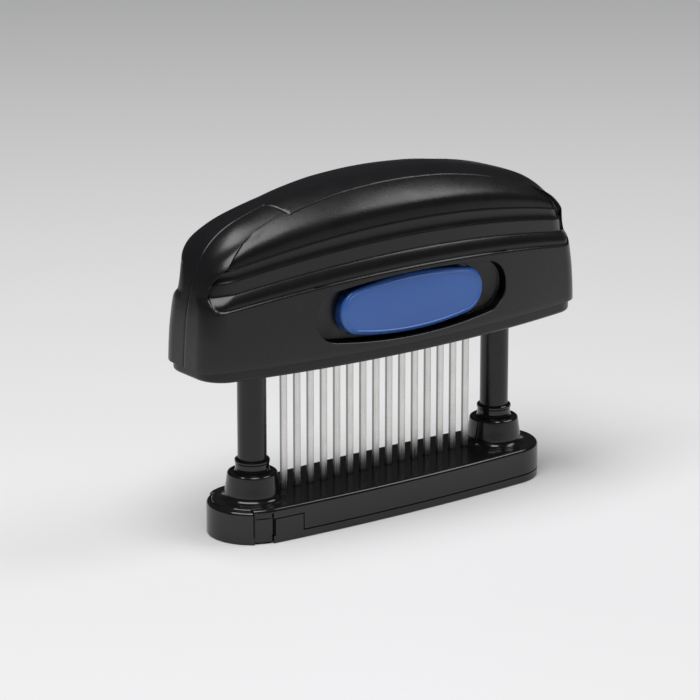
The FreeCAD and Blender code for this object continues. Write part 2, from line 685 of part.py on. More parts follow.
def skin(rows, dome):
    """Closed solid from arched rings; dome = (A, B, rc, zf, ze, crown, stretch of the crown line, power)."""
    grid = []
    for A, B, rc, zf, ze in rows:
        grid.append([Vector(x, y, level(zf, ze, x, A)) for x, y in ring_points(A, B, rc)])
    A, B, rc, zf, ze, crown, stretch, power = dome
    base_ring = ring_points(A, B, rc)
    half = sorted([p for p in ring_points(A, B, rc) if p[1] > 0 and p[0] >= 0], key=lambda p: p[0])

    def width(x):
        x = abs(x)
        if x <= half[0][0]:
            return half[0][1]
        for p, q in zip(half, half[1:]):
            if x <= q[0]:
                if q[0] - p[0] < 1e-9:
                    return p[1]
                k = (x - p[0]) / (q[0] - p[0])
                return p[1] + (q[1] - p[1]) * k
        return half[-1][1]

    def height(x, y):
        top = crown - crown_drop(x * stretch)
        zb = level(zf, ze, x, A)
        t = min(1.0, abs(y) / max(width(x), 1e-6))
        return zb + max(0.0, top - zb) * max(0.0, 1 - t**power) ** (1 / power)

    for c in (0.992, 0.97, 0.935, 0.88, 0.8, 0.7, 0.58, 0.45, 0.3, 0.15):
        grid.append([Vector(c * x, c * y, height(c * x, c * y)) for x, y in base_ring])
    grid.append([Vector(0, 0, crown)] * len(base_ring))

    nu, nv = len(base_ring), len(grid)
    surf = Part.BSplineSurface()
    degree_u, degree_v = 3, 2
    poles = [[grid[j][i] for j in range(nv)] for i in range(nu)]
    knots_u = [float(i) for i in range(nu + 1)]
    mults_u = [1] * (nu + 1)
    spans = nv - degree_v
    knots_v = [float(i) for i in range(spans + 1)]
    mults_v = [degree_v + 1] + [1] * (spans - 1) + [degree_v + 1]
    surf.buildFromPolesMultsKnots(poles, mults_u, mults_v, knots_u, knots_v, True, False, degree_u, degree_v)
    side = surf.toShape()
    for e in side.Edges:
        b = e.BoundBox
        if b.ZMax - b.ZMin < 1e-6 and b.XLength > 10:
            bottom = Part.Face(Part.Wire([e]))
    for lid in (bottom.reversed(), bottom):
        solid = Part.Solid(Part.Shell([side, lid]))
        if solid.Volume < 0:
            solid.reverse()
        if solid.isValid():
            return solid
    raise RuntimeError("the skin did not close")


def outer_skin():
    A, B = V["shell_half_length"], V["shell_half_depth"]
    z0 = V["frame_top"]
    rows = [
        (A - 0.05, B - 0.05, 7.4, z0, z0),
        (A - 0.15, B, 7.4, 60.0, 60.0),
        (A - 0.5, B - 0.1, 7.5, 66.0, 65.3),
        (A - 0.95, B - 0.25, 7.6, 73.5, 69.5),
        (A - 1.45, B - 0.35, 8.2, 79.4, 73.4),
        (A - 1.5, B - 0.45, 8.3, 79.9, 73.8),
        (A - 1.55, B - 0.85, 8.4, 80.2, 74.1),
        (A - 1.95, B - 1.7, 9.0, 83.2, 76.3),
        (A - 2.2, B - 2.3, 9.6, 84.4, 77.3),
        (A - 2.35, B - 2.52, 9.8, 85.0, 77.9),
        (A - 2.5, B - 2.54, 9.9, 86.0, 78.8),
        (A - 3.2, B - 2.6, 10.0, 88.4, 81.2),
        (A - 3.7, B - 3.1, 9.8, 89.8, 82.6),
        (A - 4.2, B - 3.25, 9.4, 91.6, 83.8),
        (A - 4.8, B - 3.27, 9.0, 93.8, 85.3),
    ]
    dome = (A - 4.9, B - 3.3, 9.0, 94.1, 85.5, V["crown_height"], 1.0, 2.6)
    return skin(rows, dome)


def inner_skin():
    w = V["wall"]
    A, B = V["shell_half_length"] - w, V["shell_half_depth"] - w
    rows = [
        (A, B, 8.0, 50.0, 50.0),
        (A, B, 8.0, 60.0, 60.0),
        (A - 0.8, B - 0.2, 8.0, 70.0, 67.5),
        (A - 1.4, B - 0.5, 8.0, 78.0, 70.8),
        (A - 1.9, B - 1.3, 8.0, 80.6, 73.2),
        (A - 2.3, B - 2.4, 8.0, 82.3, 75.2),
        (A - 3.1, B - 2.7, 7.8, 87.0, 79.0),
        (A - 4.8, B - 3.4, 7.4, 92.0, 82.6),
    ]
    dome = (A - 5.0, B - 3.6, 7.4, 92.2, 82.8, V["crown_height"] - w, 1.035, 2.55)
    return skin(rows, dome)


def make_shells():
    outer = outer_skin()
    inner = inner_skin()
    hollow = outer.cut(inner)
    zc, yf = V["recess_centre"], V["recess_floor"]
    cx = V["column_x"]
    sx, sz, ex, ez = V["shell_screw_x"], V["shell_screw_z"], V["end_screw_x"], V["end_screw_z"]
    carrier = V["carrier_half_depth"]

    adds = []
    # tub behind the recess
    px, gap = V["pill_x"], V["pill_gap"]
    adds.append(oval(V["recess_half_length"] + 1.8, V["recess_half_height"] + 1.7, 9.0, 201.0, zc, -21.0, -(yf - 2.0), px))
    # screw bosses
    for s in (-1, 1):
        adds.append(rod_y(3.3, -21, -carrier, s * sx, sz))
        adds.append(rod_y(3.3, carrier, 21, s * sx, sz))
        adds.append(rod_y(3.3, -21, 21, s * ex, ez))
        # posts over the spring seats
        adds.append(tube(5.2, 0, V["seat_top"], 104.0, s * cx))
        # vertical bosses for the frame screws, on the rear wall
        adds.append(tube(3.1, 0, V["frame_top"], 66.0, s * V["frame_screw_x"], V["frame_screw_y"]).fuse(
            box(s * V["frame_screw_x"] - 1.2, s * V["frame_screw_x"] + 1.2, V["frame_screw_y"], 21, V["frame_top"], 66.0)))
    extra = adds[0].multiFuse(adds[1:]).common(outer)
    hollow = hollow.fuse(extra)

    cuts = []
    cuts.append(oval(V["recess_half_length"], V["recess_half_height"], 7.6, 200.0, zc, -25.0, -yf, px))
    cuts.append(oval(V["pill_half_length"] + gap, V["pill_half_height"] + gap, 7.3 + gap, 110.0 + gap, V["pill_centre"], -25.0, -10.0, px))
    for s in (-1, 1):
        for x, z, face in ((s * sx, sz, carrier), (s * ex, ez, 0.0)):
            cuts.append(rod_y(1.75, face - 0.5, 25.0, x, z))          # clearance in the rear boss
            cuts.append(rod_y(3.1, face + 6.2, 25.0, x, z))           # head recess from behind
            cuts.append(rod_y(1.3, -face - 9.0, -face + 0.5, x, z))   # pilot in the front boss
        cuts.append(tube(1.3, 0, 50.0, 64.5, s * V["frame_screw_x"], V["frame_screw_y"]))
    hollow = hollow.cut(cuts[0].multiFuse(cuts[1:]))

    # stepped parting: the rear shell carries a tongue over the middle of the crown
    front_zone = box(-100, 100, -60, 0, 0, 140).cut(
        box(-V["seam_step_x"], V["seam_step_x"], -V["seam_step_y"], 1, 96.6, 140))
    front = hollow.common(front_zone)
    rear = hollow.cut(front_zone)
    for s, label in ((front, "handle_front_shell"), (rear, "handle_rear_shell")):
        solids = [k for k in s.Solids if k.Volume > 1.0]
        shape = solids[0] if len(solids) == 1 else Part.makeCompound(solids)
        print(label, "solids", len(s.Solids), [round(k.Volume, 1) for k in s.Solids])
        feature(label + "_body", shape, label)

    # frame: closing plate, bush towers and a low wall inside the shells
    zb, zt = V["handle_bottom"], V["frame_top"]
    A, B = V["frame_half_length"], V["frame_half_depth"]
    frame = plate(A, B, 9.0, zb, zt)
    frame = frame.makeFillet(V["frame_edge"], [e for e in frame.Edges if e.BoundBox.ZMax < zb + 1e-6])
    iA, iB = V["shell_half_length"] - V["wall"] - 0.35, V["shell_half_depth"] - V["wall"] - 0.35
    wall = plate(iA, iB, 8.0, zt, zt + 2.2).cut(plate(iA - 1.6, iB - 1.6, 6.6, zt - 1, zt + 5))
    wall = wall.cut(box(-41, 41, -25, 0, zt, zt + 6))
    for s in (-1, 1):
        wall = wall.cut(box(s * V["frame_screw_x"] - 4.5, s * V["frame_screw_x"] + 4.5, 5, 25, zt, zt + 6))
    frame = frame.fuse(wall)
    for s in (-1, 1):
        frame = frame.fuse(tube(V["tower_radius"], 0, zt, V["tower_top"], s * cx))
    cuts = [box(-37.4, 37.4, -1.9, 1.9, zb - 1, zt + 1)]
    # underside relief pockets leave ribs across the plate
    for s in (-1, 1):
        cuts.append(tube(V["bush_radius"] + 0.03, 0, zb - 1, 70, s * cx))
        cuts.append(tube(V["bush_flange_radius"] + 0.1, 0, zb - 1, V["bush_flange_top"] + 0.05, s * cx))
        cuts.append(tube(1.7, 0, zb - 1, zt + 1, s * V["frame_screw_x"], V["frame_screw_y"]))
        cuts.append(tube(3.1, 0, zb - 1, zb + 1.9, s * V["frame_screw_x"], V["frame_screw_y"]))
        for i in range(3):
            x0 = -36.0 + i * 24.6
            lo, hi = (-14.2, -4.6) if s < 0 else (4.6, 8.9)
            cuts.append(box(x0, x0 + 22.6, lo, hi, zb - 1, zb + 1.4))
    frame = frame.cut(cuts[0].multiFuse(cuts[1:]))
    feature("frame_body", frame, "handle_frame")

    # screws
    def screw(length, head=2.9, shank=1.2):
        s = tube(head, 0, 0.0, 1.8).fuse(tube(shank, 0, -length, 0.1))
        s = s.cut(box(-1.9, 1.9, -0.35, 0.35, 0.9, 3)).cut(box(-0.35, 0.35, -1.9, 1.9, 0.9, 3))
        return s

    group = []
    for s in (-1, 1):
        for x, z, face in ((s * sx, sz, carrier), (s * ex, ez, 0.0)):
            k = screw(face + 6.2 + face + 7.5)
            k.Placement = Placement(Vector(x, face + 6.2, z), Rotation(Vector(1, 0, 0), -90))
            group.append(k)
    feature("shell_screw_set", Part.makeCompound(group), "shell_screws")
    group = []
    for s in (-1, 1):
        k = screw(8.0)
        k.Placement = Placement(
            Vector(s * V["frame_screw_x"], V["frame_screw_y"], zb + 1.9), Rotation(Vector(1, 0, 0), 180))
        group.append(k)
    feature("frame_screw_set", Part.makeCompound(group), "frame_screws")


# ----------------------------------------------------------------------------
# bushes and spring seats
# ----------------------------------------------------------------------------
def make_bushes():
    for side, word in ((-1, "left"), (1, "right")):
        x = D["column_x"] * side
        turned("Bush_" + word, "guide_bush_" + word, [
            (D["bush_bore"], D["bush_bottom"] + 0.4), (D["bush_bore"] + 0.4, D["bush_bottom"]),
            (D["bush_flange_radius"], D["bush_bottom"]), (D["bush_flange_radius"], D["bush_flange_top"]),
            (D["bush_radius"], D["bush_flange_top"]), (D["bush_radius"], D["bush_groove_bottom"]),
            (D["bush_groove_radius"], D["bush_groove_bottom"]), (D["bush_groove_radius"], D["bush_groove_top"]),
            (D["bush_radius"], D["bush_groove_top"]), (D["bush_radius"], D["bush_top"] - 0.3),
            (D["bush_radius"] - 0.3, D["bush_top"]), (D["bush_bore"], D["bush_top"]),
        ], x)
        turned("Seat_" + word, "spring_seat_" + word, [
            (N(0), D["peg_bottom"]), (D["peg_radius"] - 0.5, D["peg_bottom"]),
            (D["peg_radius"], D["peg_bottom"] + 0.8), (D["peg_radius"], D["seat_bottom"]),
            (D["seat_radius"], D["seat_bottom"]), (D["seat_radius"], D["seat_top"]), (N(0), D["seat_top"]),
        ], x)


# ----------------------------------------------------------------------------
# blades and their carrier
# ----------------------------------------------------------------------------
def make_blades():
    half, head = D["blade_width"] / 2, D["blade_head_width"] / 2
    for i in range(15):
        x = D["pitch"] * float(i - 7)
        body = new_body("Blade%02d" % (i + 1))
        # profile in the X-Z plane, thickness centred on Y = 0
        sk = sketch_on(body, "blade%02d_profile" % (i + 1), "XZ_Plane", offset=-(D["blade_thickness"] / 2))
        polygon(sk, [
            (N(0) - 0.25, D["blade_tip"]), (N(0) + 0.25, D["blade_tip"]),
            (half, D["blade_tip"] + D["blade_bevel"]), (half, D["blade_head_bottom"]),
            (head, D["blade_head_bottom"]), (head, D["blade_top"]), (-head, D["blade_top"]),
            (-head, D["blade_head_bottom"]), (-half, D["blade_head_bottom"]),
            (-half, D["blade_tip"] + D["blade_bevel"]),
        ])
        pad(body, "blade%02d_pad" % (i + 1), sk, D["blade_thickness"])
        bind(body, "Placement.Base.x", x)
        keep(body, "blade_%02d" % (i + 1))

    for side, label in ((-1, "blade_carrier_front"), (1, "blade_carrier_rear")):
        body = new_body("Carrier_%s" % ("front" if side < 0 else "rear"))
        L, T = D["carrier_half_length"], D["carrier_half_depth"]
        sk = sketch_on(body, label + "_outline", offset=D["carrier_bottom"])
        if side < 0:
            rectangle(sk, -L, -T, L, N(0))
        else:
            rectangle(sk, -L, N(0), L, T)
        pad(body, label + "_pad", sk, D["carrier_top"] - D["carrier_bottom"])
        doc.recompute()
        depth = D["blade_thickness"] / 2
        # half slot for a shank, then a wider pocket for its T-head
        sk = sketch_on(body, label + "_slot", offset=D["carrier_top"])
        x0 = -(D["blade_span"] / 2)
        hw = D["blade_width"] / 2 + 0.02
        y0, y1 = (-(depth + 0.02), N(0)) if side < 0 else (N(0), depth + 0.02)
        rectangle(sk, x0 - hw, y0, x0 + hw, y1)
        cut = pocket(body, label + "_slot_cut", sk, D["carrier_top"] - D["carrier_bottom"])
        fifteen(body, label + "_slots", cut)
        doc.recompute()
        sk = sketch_on(body, label + "_head", offset=D["blade_top"] + 0.05)
        hw = D["blade_head_width"] / 2 + 0.05
        rectangle(sk, x0 - hw, y0, x0 + hw, y1)
        cut = pocket(body, label + "_head_cut", sk, D["blade_top"] + 0.05 - D["blade_head_bottom"])
        fifteen(body, label + "_heads", cut)
        doc.recompute()
        # holes for the shell screws
        sk = sketch_on(body, label + "_holes", "XZ_Plane", offset=N(-6.0))
        for s in (-1, 1):
            circle(sk, D["shell_screw_x"] * s, D["shell_screw_z"], N(1.6))
        before = body.Shape.Volume
        cut = pocket(body, label + "_hole_cut", sk, N(12.0), reverse=True)
        doc.recompute()
        if body.Shape.Volume > before - 10:
            raise RuntimeError(label + ": the screw holes cut nothing")
        keep(body, label)


# ----------------------------------------------------------------------------
# release button, the plate it pushes and its spring
# ----------------------------------------------------------------------------
def make_release():
    A, B, zc, face = V["pill_half_length"], V["pill_half_height"], V["pill_centre"], V["pill_face"]
    back = V["recess_floor"] - 2.0 - 0.2
    px = V["pill_x"]
    pill = oval(A, B, 7.3, 110.0, zc, -face, -back, px)
    # softened rim and a shallow raised border round the face
    rim = [e for e in pill.Edges if abs(e.BoundBox.YMin + face) < 1e-6 and abs(e.BoundBox.YMax + face) < 1e-6]
    pill = pill.makeFillet(0.9, rim)
    pill = pill.cut(oval(A - 1.6, B - 1.6, 5.7, 108.4, zc, -face - 1.0, -face + 0.2, px))
    flange = oval(A + 1.2, B + 1.2, 8.5, 111.2, zc, -back, -back + 0.8, px)
    pill = pill.fuse(flange)
    stem = rod_y(3.0, -back + 0.7, -11.4, 0, zc)
    pill = pill.fuse(stem).fuse(rod_y(1.4, -11.6, -9.4, 0, zc))
    feature("button_body", pill.removeSplitter(), "release_button")

    # plate whose two keyholes hold the bushes by their grooves; pushed back by
    # the button it frees them, and the bushes leave downwards with the columns
    z0, t = V["lock_bottom"], V["lock_thickness"]
    cx, go = V["column_x"], V["button_travel"]
    lock = box(-38.6, 38.6, -11.4, -7.2, z0, z0 + t)
    for s in (-1, 1):
        end = box(38.6, 55.0, -11.4, 9.4, z0, z0 + t) if s > 0 else box(-55.0, -38.6, -11.4, 9.4, z0, z0 + t)
        lock = lock.fuse(end)
    lock = lock.fuse(box(-7, 7, -11.4, -9.9, z0, 73.4))
    for s in (-1, 1):
        lock = lock.cut(tube(V["lock_hold_radius"], 0, z0 - 1, z0 + t + 1, s * cx))
        lock = lock.cut(tube(V["lock_release_radius"], 0, z0 - 1, z0 + t + 1, s * cx, -go))
        # rounded outer corners
        corner = box(46, 60, -20, 20, z0 - 1, z0 + t + 1) if s > 0 else box(-60, -46, -20, 20, z0 - 1, z0 + t + 1)
        lock = lock.cut(corner.cut(Part.makeCylinder(13.5, 10, Vector(s * 41.5, -1.0, z0 - 2))))
    lock = lock.cut(rod_y(1.45, -13, -8, 0, zc))
    lock = lock.removeSplitter()
    feature("lock_body", lock, "column_lock_plate")

    # return spring between the tab and the carrier, along Y
    y0, y1 = -9.5, -V["carrier_half_depth"] - 0.4
    turns = 3.0
    helix = Part.makeHelix((y1 - y0) / turns, y1 - y0, 2.6)
    wire = Part.Wire(helix.Edges)
    profile = Part.Wire([Part.makeCircle(0.36, Vector(2.6, 0, 0), Vector(0, 1, 0))])
    s = wire.makePipeShell([profile], True, True)
    if s.ShapeType == "Shell":
        s = Part.Solid(s)
    f = doc.addObject("Part::Feature", "button_spring_coil")
    f.Shape = s
    f.Placement = Placement(Vector(0, y0, zc), Rotation(Vector(1, 0, 0), -90))
    keep(f, "button_spring")


make_foot()
make_base()
make_columns()
make_shells()
make_bushes()
make_blades()
make_release()

# ----------------------------------------------------------------------------
# every object is checked before anything is written
# ----------------------------------------------------------------------------
doc.recompute()
bad = []
for obj in doc.Objects:
    state = [str(k) for k in obj.State]
    if "Invalid" in state or "Error" in state:
        bad.append("%s: %s" % (obj.Name, state))
for obj in parts:
    shape = obj.Shape
    if shape.isNull() or not shape.isValid():
        bad.append("%s: shape is null or not valid" % obj.Label)
    elif not shape.Solids or min(k.Volume for k in shape.Solids) <= 0:
        bad.append("%s: no closed solid" % obj.Label)
labels = [p.Label for p in parts]
if len(set(labels)) != len(labels):
    bad.append("labels repeat")
for obj in parts:
    b = obj.Shape.BoundBox
    print("%-22s %2d solids %9.2f mm3  x %.2f %.2f  y %.2f %.2f  z %.2f %.2f" % (
        obj.Label, len(obj.Shape.Solids), obj.Shape.Volume, b.XMin, b.XMax, b.YMin, b.YMax, b.ZMin, b.ZMax))
if bad:
    raise RuntimeError("; ".join(bad))

os.makedirs("parts", exist_ok=True)
for obj in parts:
    obj.Shape.exportStep(os.path.join("parts", obj.Label + ".step"))
print(len(parts), "parts written")
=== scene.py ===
import json
import math

import bmesh
import bpy
import numpy as np
from mathutils import Matrix, Vector


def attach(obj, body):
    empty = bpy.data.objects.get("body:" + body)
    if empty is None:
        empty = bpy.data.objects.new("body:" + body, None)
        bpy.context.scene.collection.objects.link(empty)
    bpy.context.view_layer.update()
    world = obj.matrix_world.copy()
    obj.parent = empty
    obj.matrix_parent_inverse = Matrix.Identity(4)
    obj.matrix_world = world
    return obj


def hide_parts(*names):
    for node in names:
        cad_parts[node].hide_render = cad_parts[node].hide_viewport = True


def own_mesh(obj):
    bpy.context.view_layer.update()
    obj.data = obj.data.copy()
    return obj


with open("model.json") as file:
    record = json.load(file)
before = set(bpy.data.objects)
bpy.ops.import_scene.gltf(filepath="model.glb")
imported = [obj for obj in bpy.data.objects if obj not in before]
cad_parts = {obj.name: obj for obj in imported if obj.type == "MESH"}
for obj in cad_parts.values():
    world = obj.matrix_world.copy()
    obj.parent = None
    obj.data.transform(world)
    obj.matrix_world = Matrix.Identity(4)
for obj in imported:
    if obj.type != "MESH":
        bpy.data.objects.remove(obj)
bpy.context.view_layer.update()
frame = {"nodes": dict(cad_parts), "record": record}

MM = 0.001
scene = bpy.context.scene


# ----------------------------------------------------------------------------
# small mesh tools
# ----------------------------------------------------------------------------
def add_mesh(name, verts_mm, faces, material=None, smooth=True, angle=None):
    me = bpy.data.meshes.new(name)
    me.from_pydata([(float(x) * MM, float(y) * MM, float(z) * MM) for x, y, z in verts_mm], [], [list(map(int, f)) for f in faces])
    me.validate()
    me.update()
    ob = bpy.data.objects.new(name, me)
    scene.collection.objects.link(ob)
    if material is not None:
        me.materials.append(material)
    shade(ob, smooth, angle)
    return ob


def shade(ob, smooth=True, angle=None):
    me = ob.data
    me.polygons.foreach_set("use_smooth", [smooth] * len(me.polygons))
    if smooth and angle is not None:
        me.set_sharp_from_angle(angle=math.radians(angle))
    me.update()


def fix_normals(ob):
    bm = bmesh.new()
    bm.from_mesh(ob.data)
    bmesh.ops.recalc_face_normals(bm, faces=bm.faces)
    bm.to_mesh(ob.data)
    bm.free()


def clean(ob, dist_mm=0.0005):
    bm = bmesh.new()
    bm.from_mesh(ob.data)
    bmesh.ops.remove_doubles(bm, verts=bm.verts, dist=dist_mm * MM)
    bmesh.ops.dissolve_degenerate(bm, edges=bm.edges, dist=dist_mm * MM)
    bm.to_mesh(ob.data)
    bm.free()


def bake_modifiers(ob):
    dg = bpy.context.evaluated_depsgraph_get()
    me = bpy.data.meshes.new_from_object(ob.evaluated_get(dg))
    old = ob.data
    ob.modifiers.clear()
    ob.data = me
    bpy.data.meshes.remove(old)


def boolean(ob, tool, op="DIFFERENCE", keep_tool=False):
    m = ob.modifiers.new("b", "BOOLEAN")
    m.operation = op
    m.object = tool
    m.solver = "MANIFOLD"
    bpy.context.view_layer.update()
    bake_modifiers(ob)
    if not keep_tool:
        bpy.data.objects.remove(tool)
    return ob


def box_mesh(name, lo, hi):
    x0, y0, z0 = lo
    x1, y1, z1 = hi
    v = [(x0, y0, z0), (x1, y0, z0), (x1, y1, z0), (x0, y1, z0), (x0, y0, z1), (x1, y0, z1), (x1, y1, z1), (x0, y1, z1)]
    f = [(0, 3, 2, 1), (4, 5, 6, 7), (0, 1, 5, 4), (1, 2, 6, 5), (2, 3, 7, 6), (3, 0, 4, 7)]
    return add_mesh(name, v, f, smooth=False)


def loops_solid(name, loops, cap_start=True, cap_end=True, material=None, smooth=True, angle=None):
    """Closed solid from equally long closed loops of points."""
    n = len(loops[0])
    verts = [p for loop in loops for p in loop]
    faces = []
    for j in range(len(loops) - 1):
        for i in range(n):
            a, b = j * n + i, j * n + (i + 1) % n
            faces.append((a, b, b + n, a + n))
    if cap_start:
        faces.append(tuple(range(n - 1, -1, -1)))
    if cap_end:
        faces.append(tuple(range((len(loops) - 1) * n, len(loops) * n)))
    ob = add_mesh(name, verts, faces, material, smooth, angle)
    fix_normals(ob)
    return ob


def lathe(name, profile, x=0.0, y=0.0, n=96, material=None, angle=35, closed=True):
    """Turned piece: profile is a closed list of (r, z); points with r = 0 become poles."""
    verts, rows = [], []
    for r, z in profile:
        if r < 1e-6:
            rows.append([len(verts)] * n)
            verts.append((x, y, z))
        else:
            rows.append(list(range(len(verts), len(verts) + n)))
            for i in range(n):
                a = 2 * math.pi * i / n
                verts.append((x + r * math.cos(a), y + r * math.sin(a), z))
    faces = []
    m = len(profile)
    for j in range(m if closed else m - 1):
        p, q = rows[j], rows[(j + 1) % m]
        if p[0] == p[1] and q[0] == q[1]:
            continue
        for i in range(n):
            k = (i + 1) % n
            ring = [p[i], p[k], q[k], q[i]]
            ring = [v for t, v in enumerate(ring) if v != ring[t - 1]]
            if len(ring) >= 3:
                faces.append(tuple(ring))
    ob = add_mesh(name, verts, faces, material, True, angle)
    fix_normals(ob)
    shade(ob, True, angle)
    return ob


def rod_y(name, r, y0, y1, x, z, n=64):
    loops = []
    for y in (y0, y1):
        loops.append([(x + r * math.cos(2 * math.pi * i / n), y, z + r * math.sin(2 * math.pi * i / n)) for i in range(n)])
    return loops_solid(name, loops, smooth=False)


def join(obs, name):
    """One object from several meshes that don't touch."""
    bm = bmesh.new()
    for o in obs:
        bm.from_mesh(o.data)
    me = bpy.data.meshes.new(name)
    bm.to_mesh(me)
    bm.free()
    ob = bpy.data.objects.new(name, me)
    scene.collection.objects.link(ob)
    for o in obs:
        bpy.data.objects.remove(o)
    return ob


def monotone(xs, ys):
    """Monotone cubic through the points; returns a function of x."""
    xs, ys = np.asarray(xs, float), np.asarray(ys, float)
    h = np.diff(xs)
    d = np.diff(ys) / h
    m = np.zeros(len(xs))
    m[0], m[-1] = d[0], d[-1]
    for i in range(1, len(xs) - 1):
        if d[i - 1] * d[i] > 0:
            w1, w2 = 2 * h[i] + h[i - 1], h[i] + 2 * h[i - 1]
            m[i] = (w1 + w2) / (w1 / d[i - 1] + w2 / d[i])

    def f(x):
        x = np.clip(np.asarray(x, float), xs[0], xs[-1])
        k = np.clip(np.searchsorted(xs, x, side="right") - 1, 0, len(xs) - 2)
        t = (x - xs[k]) / h[k]
        return ((1 + 2 * t) * (1 - t) ** 2 * ys[k] + t * (1 - t) ** 2 * h[k] * m[k]
                + t * t * (3 - 2 * t) * ys[k + 1] + t * t * (t - 1) * h[k] * m[k + 1])

    return f


def smoothstep(t):
    t = np.clip(t, 0, 1)
    return t * t * (3 - 2 * t)


# ----------------------------------------------------------------------------
# materials
# ----------------------------------------------------------------------------
def new_material(name):
    mat = bpy.data.materials.new(name)
    mat.use_nodes = True
    nt = mat.node_tree
    nt.nodes.clear()
    out = nt.nodes.new("ShaderNodeOutputMaterial")
    bsdf = nt.nodes.new("ShaderNodeBsdfPrincipled")
    nt.links.new(bsdf.outputs["BSDF"], out.inputs["Surface"])
    return mat, nt, bsdf


def noise(nt, coord, scale, detail=3.0, rough=0.5, stretch=None):
    n = nt.nodes.new("ShaderNodeTexNoise")
    n.inputs["Scale"].default_value = scale
    n.inputs["Detail"].default_value = detail
    n.inputs["Roughness"].default_value = rough
    if stretch is not None:
        mp = nt.nodes.new("ShaderNodeMapping")
        mp.inputs["Scale"].default_value = stretch
        nt.links.new(coord, mp.inputs["Vector"])
        coord = mp.outputs["Vector"]
    nt.links.new(coord, n.inputs["Vector"])
    return n.outputs["Fac"]


def ranged(nt, value, lo, hi, from_lo=0.3, from_hi=0.7):
    m = nt.nodes.new("ShaderNodeMapRange")
    m.inputs["From Min"].default_value = from_lo
    m.inputs["From Max"].default_value = from_hi
    m.inputs["To Min"].default_value = lo
    m.inputs["To Max"].default_value = hi
    nt.links.new(value, m.inputs["Value"])
    return m.outputs["Result"]


def two_colours(nt, value, a, b):
    r = nt.nodes.new("ShaderNodeValToRGB")
    r.color_ramp.elements[0].position = 0.3
    r.color_ramp.elements[1].position = 0.7
    r.color_ramp.elements[0].color = (*a, 1)
    r.color_ramp.elements[1].color = (*b, 1)
    nt.links.new(value, r.inputs["Fac"])
    return r.outputs["Color"]


def plastic(name, dark, light, rough_lo, rough_hi, grain_scale, grain_height, specular=0.5, coat=0.0, coat_rough=0.1):
    """Moulded plastic: fine surface grain, faint flow marks and a slightly uneven gloss."""
    mat, nt, bsdf = new_material(name)
    tc = nt.nodes.new("ShaderNodeTexCoord")
    obj = tc.outputs["Object"]
    flow = noise(nt, obj, 45.0, 4.0, 0.55)
    nt.links.new(two_colours(nt, flow, dark, light), bsdf.inputs["Base Color"])
    wear = noise(nt, obj, 160.0, 5.0, 0.6)
    nt.links.new(ranged(nt, wear, rough_lo, rough_hi), bsdf.inputs["Roughness"])
    grain = noise(nt, obj, grain_scale, 2.0, 0.5)
    bump = nt.nodes.new("ShaderNodeBump")
    bump.inputs["Strength"].default_value = 1.0
    bump.inputs["Distance"].default_value = grain_height
    nt.links.new(grain, bump.inputs["Height"])
    nt.links.new(bump.outputs["Normal"], bsdf.inputs["Normal"])
    bsdf.inputs["Specular IOR Level"].default_value = specular
    bsdf.inputs["Coat Weight"].default_value = coat
    bsdf.inputs["Coat Roughness"].default_value = coat_rough
    return mat


def metal(name, dark, light, rough_lo, rough_hi, stretch, scale, height):
    """Steel with a directional finish."""
    mat, nt, bsdf = new_material(name)
    tc = nt.nodes.new("ShaderNodeTexCoord")
    obj = tc.outputs["Object"]
    lines = noise(nt, obj, scale, 3.0, 0.6, stretch)
    stain = noise(nt, obj, 90.0, 3.0, 0.5)
    nt.links.new(two_colours(nt, stain, dark, light), bsdf.inputs["Base Color"])
    nt.links.new(ranged(nt, lines, rough_lo, rough_hi), bsdf.inputs["Roughness"])
    bump = nt.nodes.new("ShaderNodeBump")
    bump.inputs["Strength"].default_value = 1.0
    bump.inputs["Distance"].default_value = height
    nt.links.new(lines, bump.inputs["Height"])
    nt.links.new(bump.outputs["Normal"], bsdf.inputs["Normal"])
    bsdf.inputs["Metallic"].default_value = 1.0
    return mat


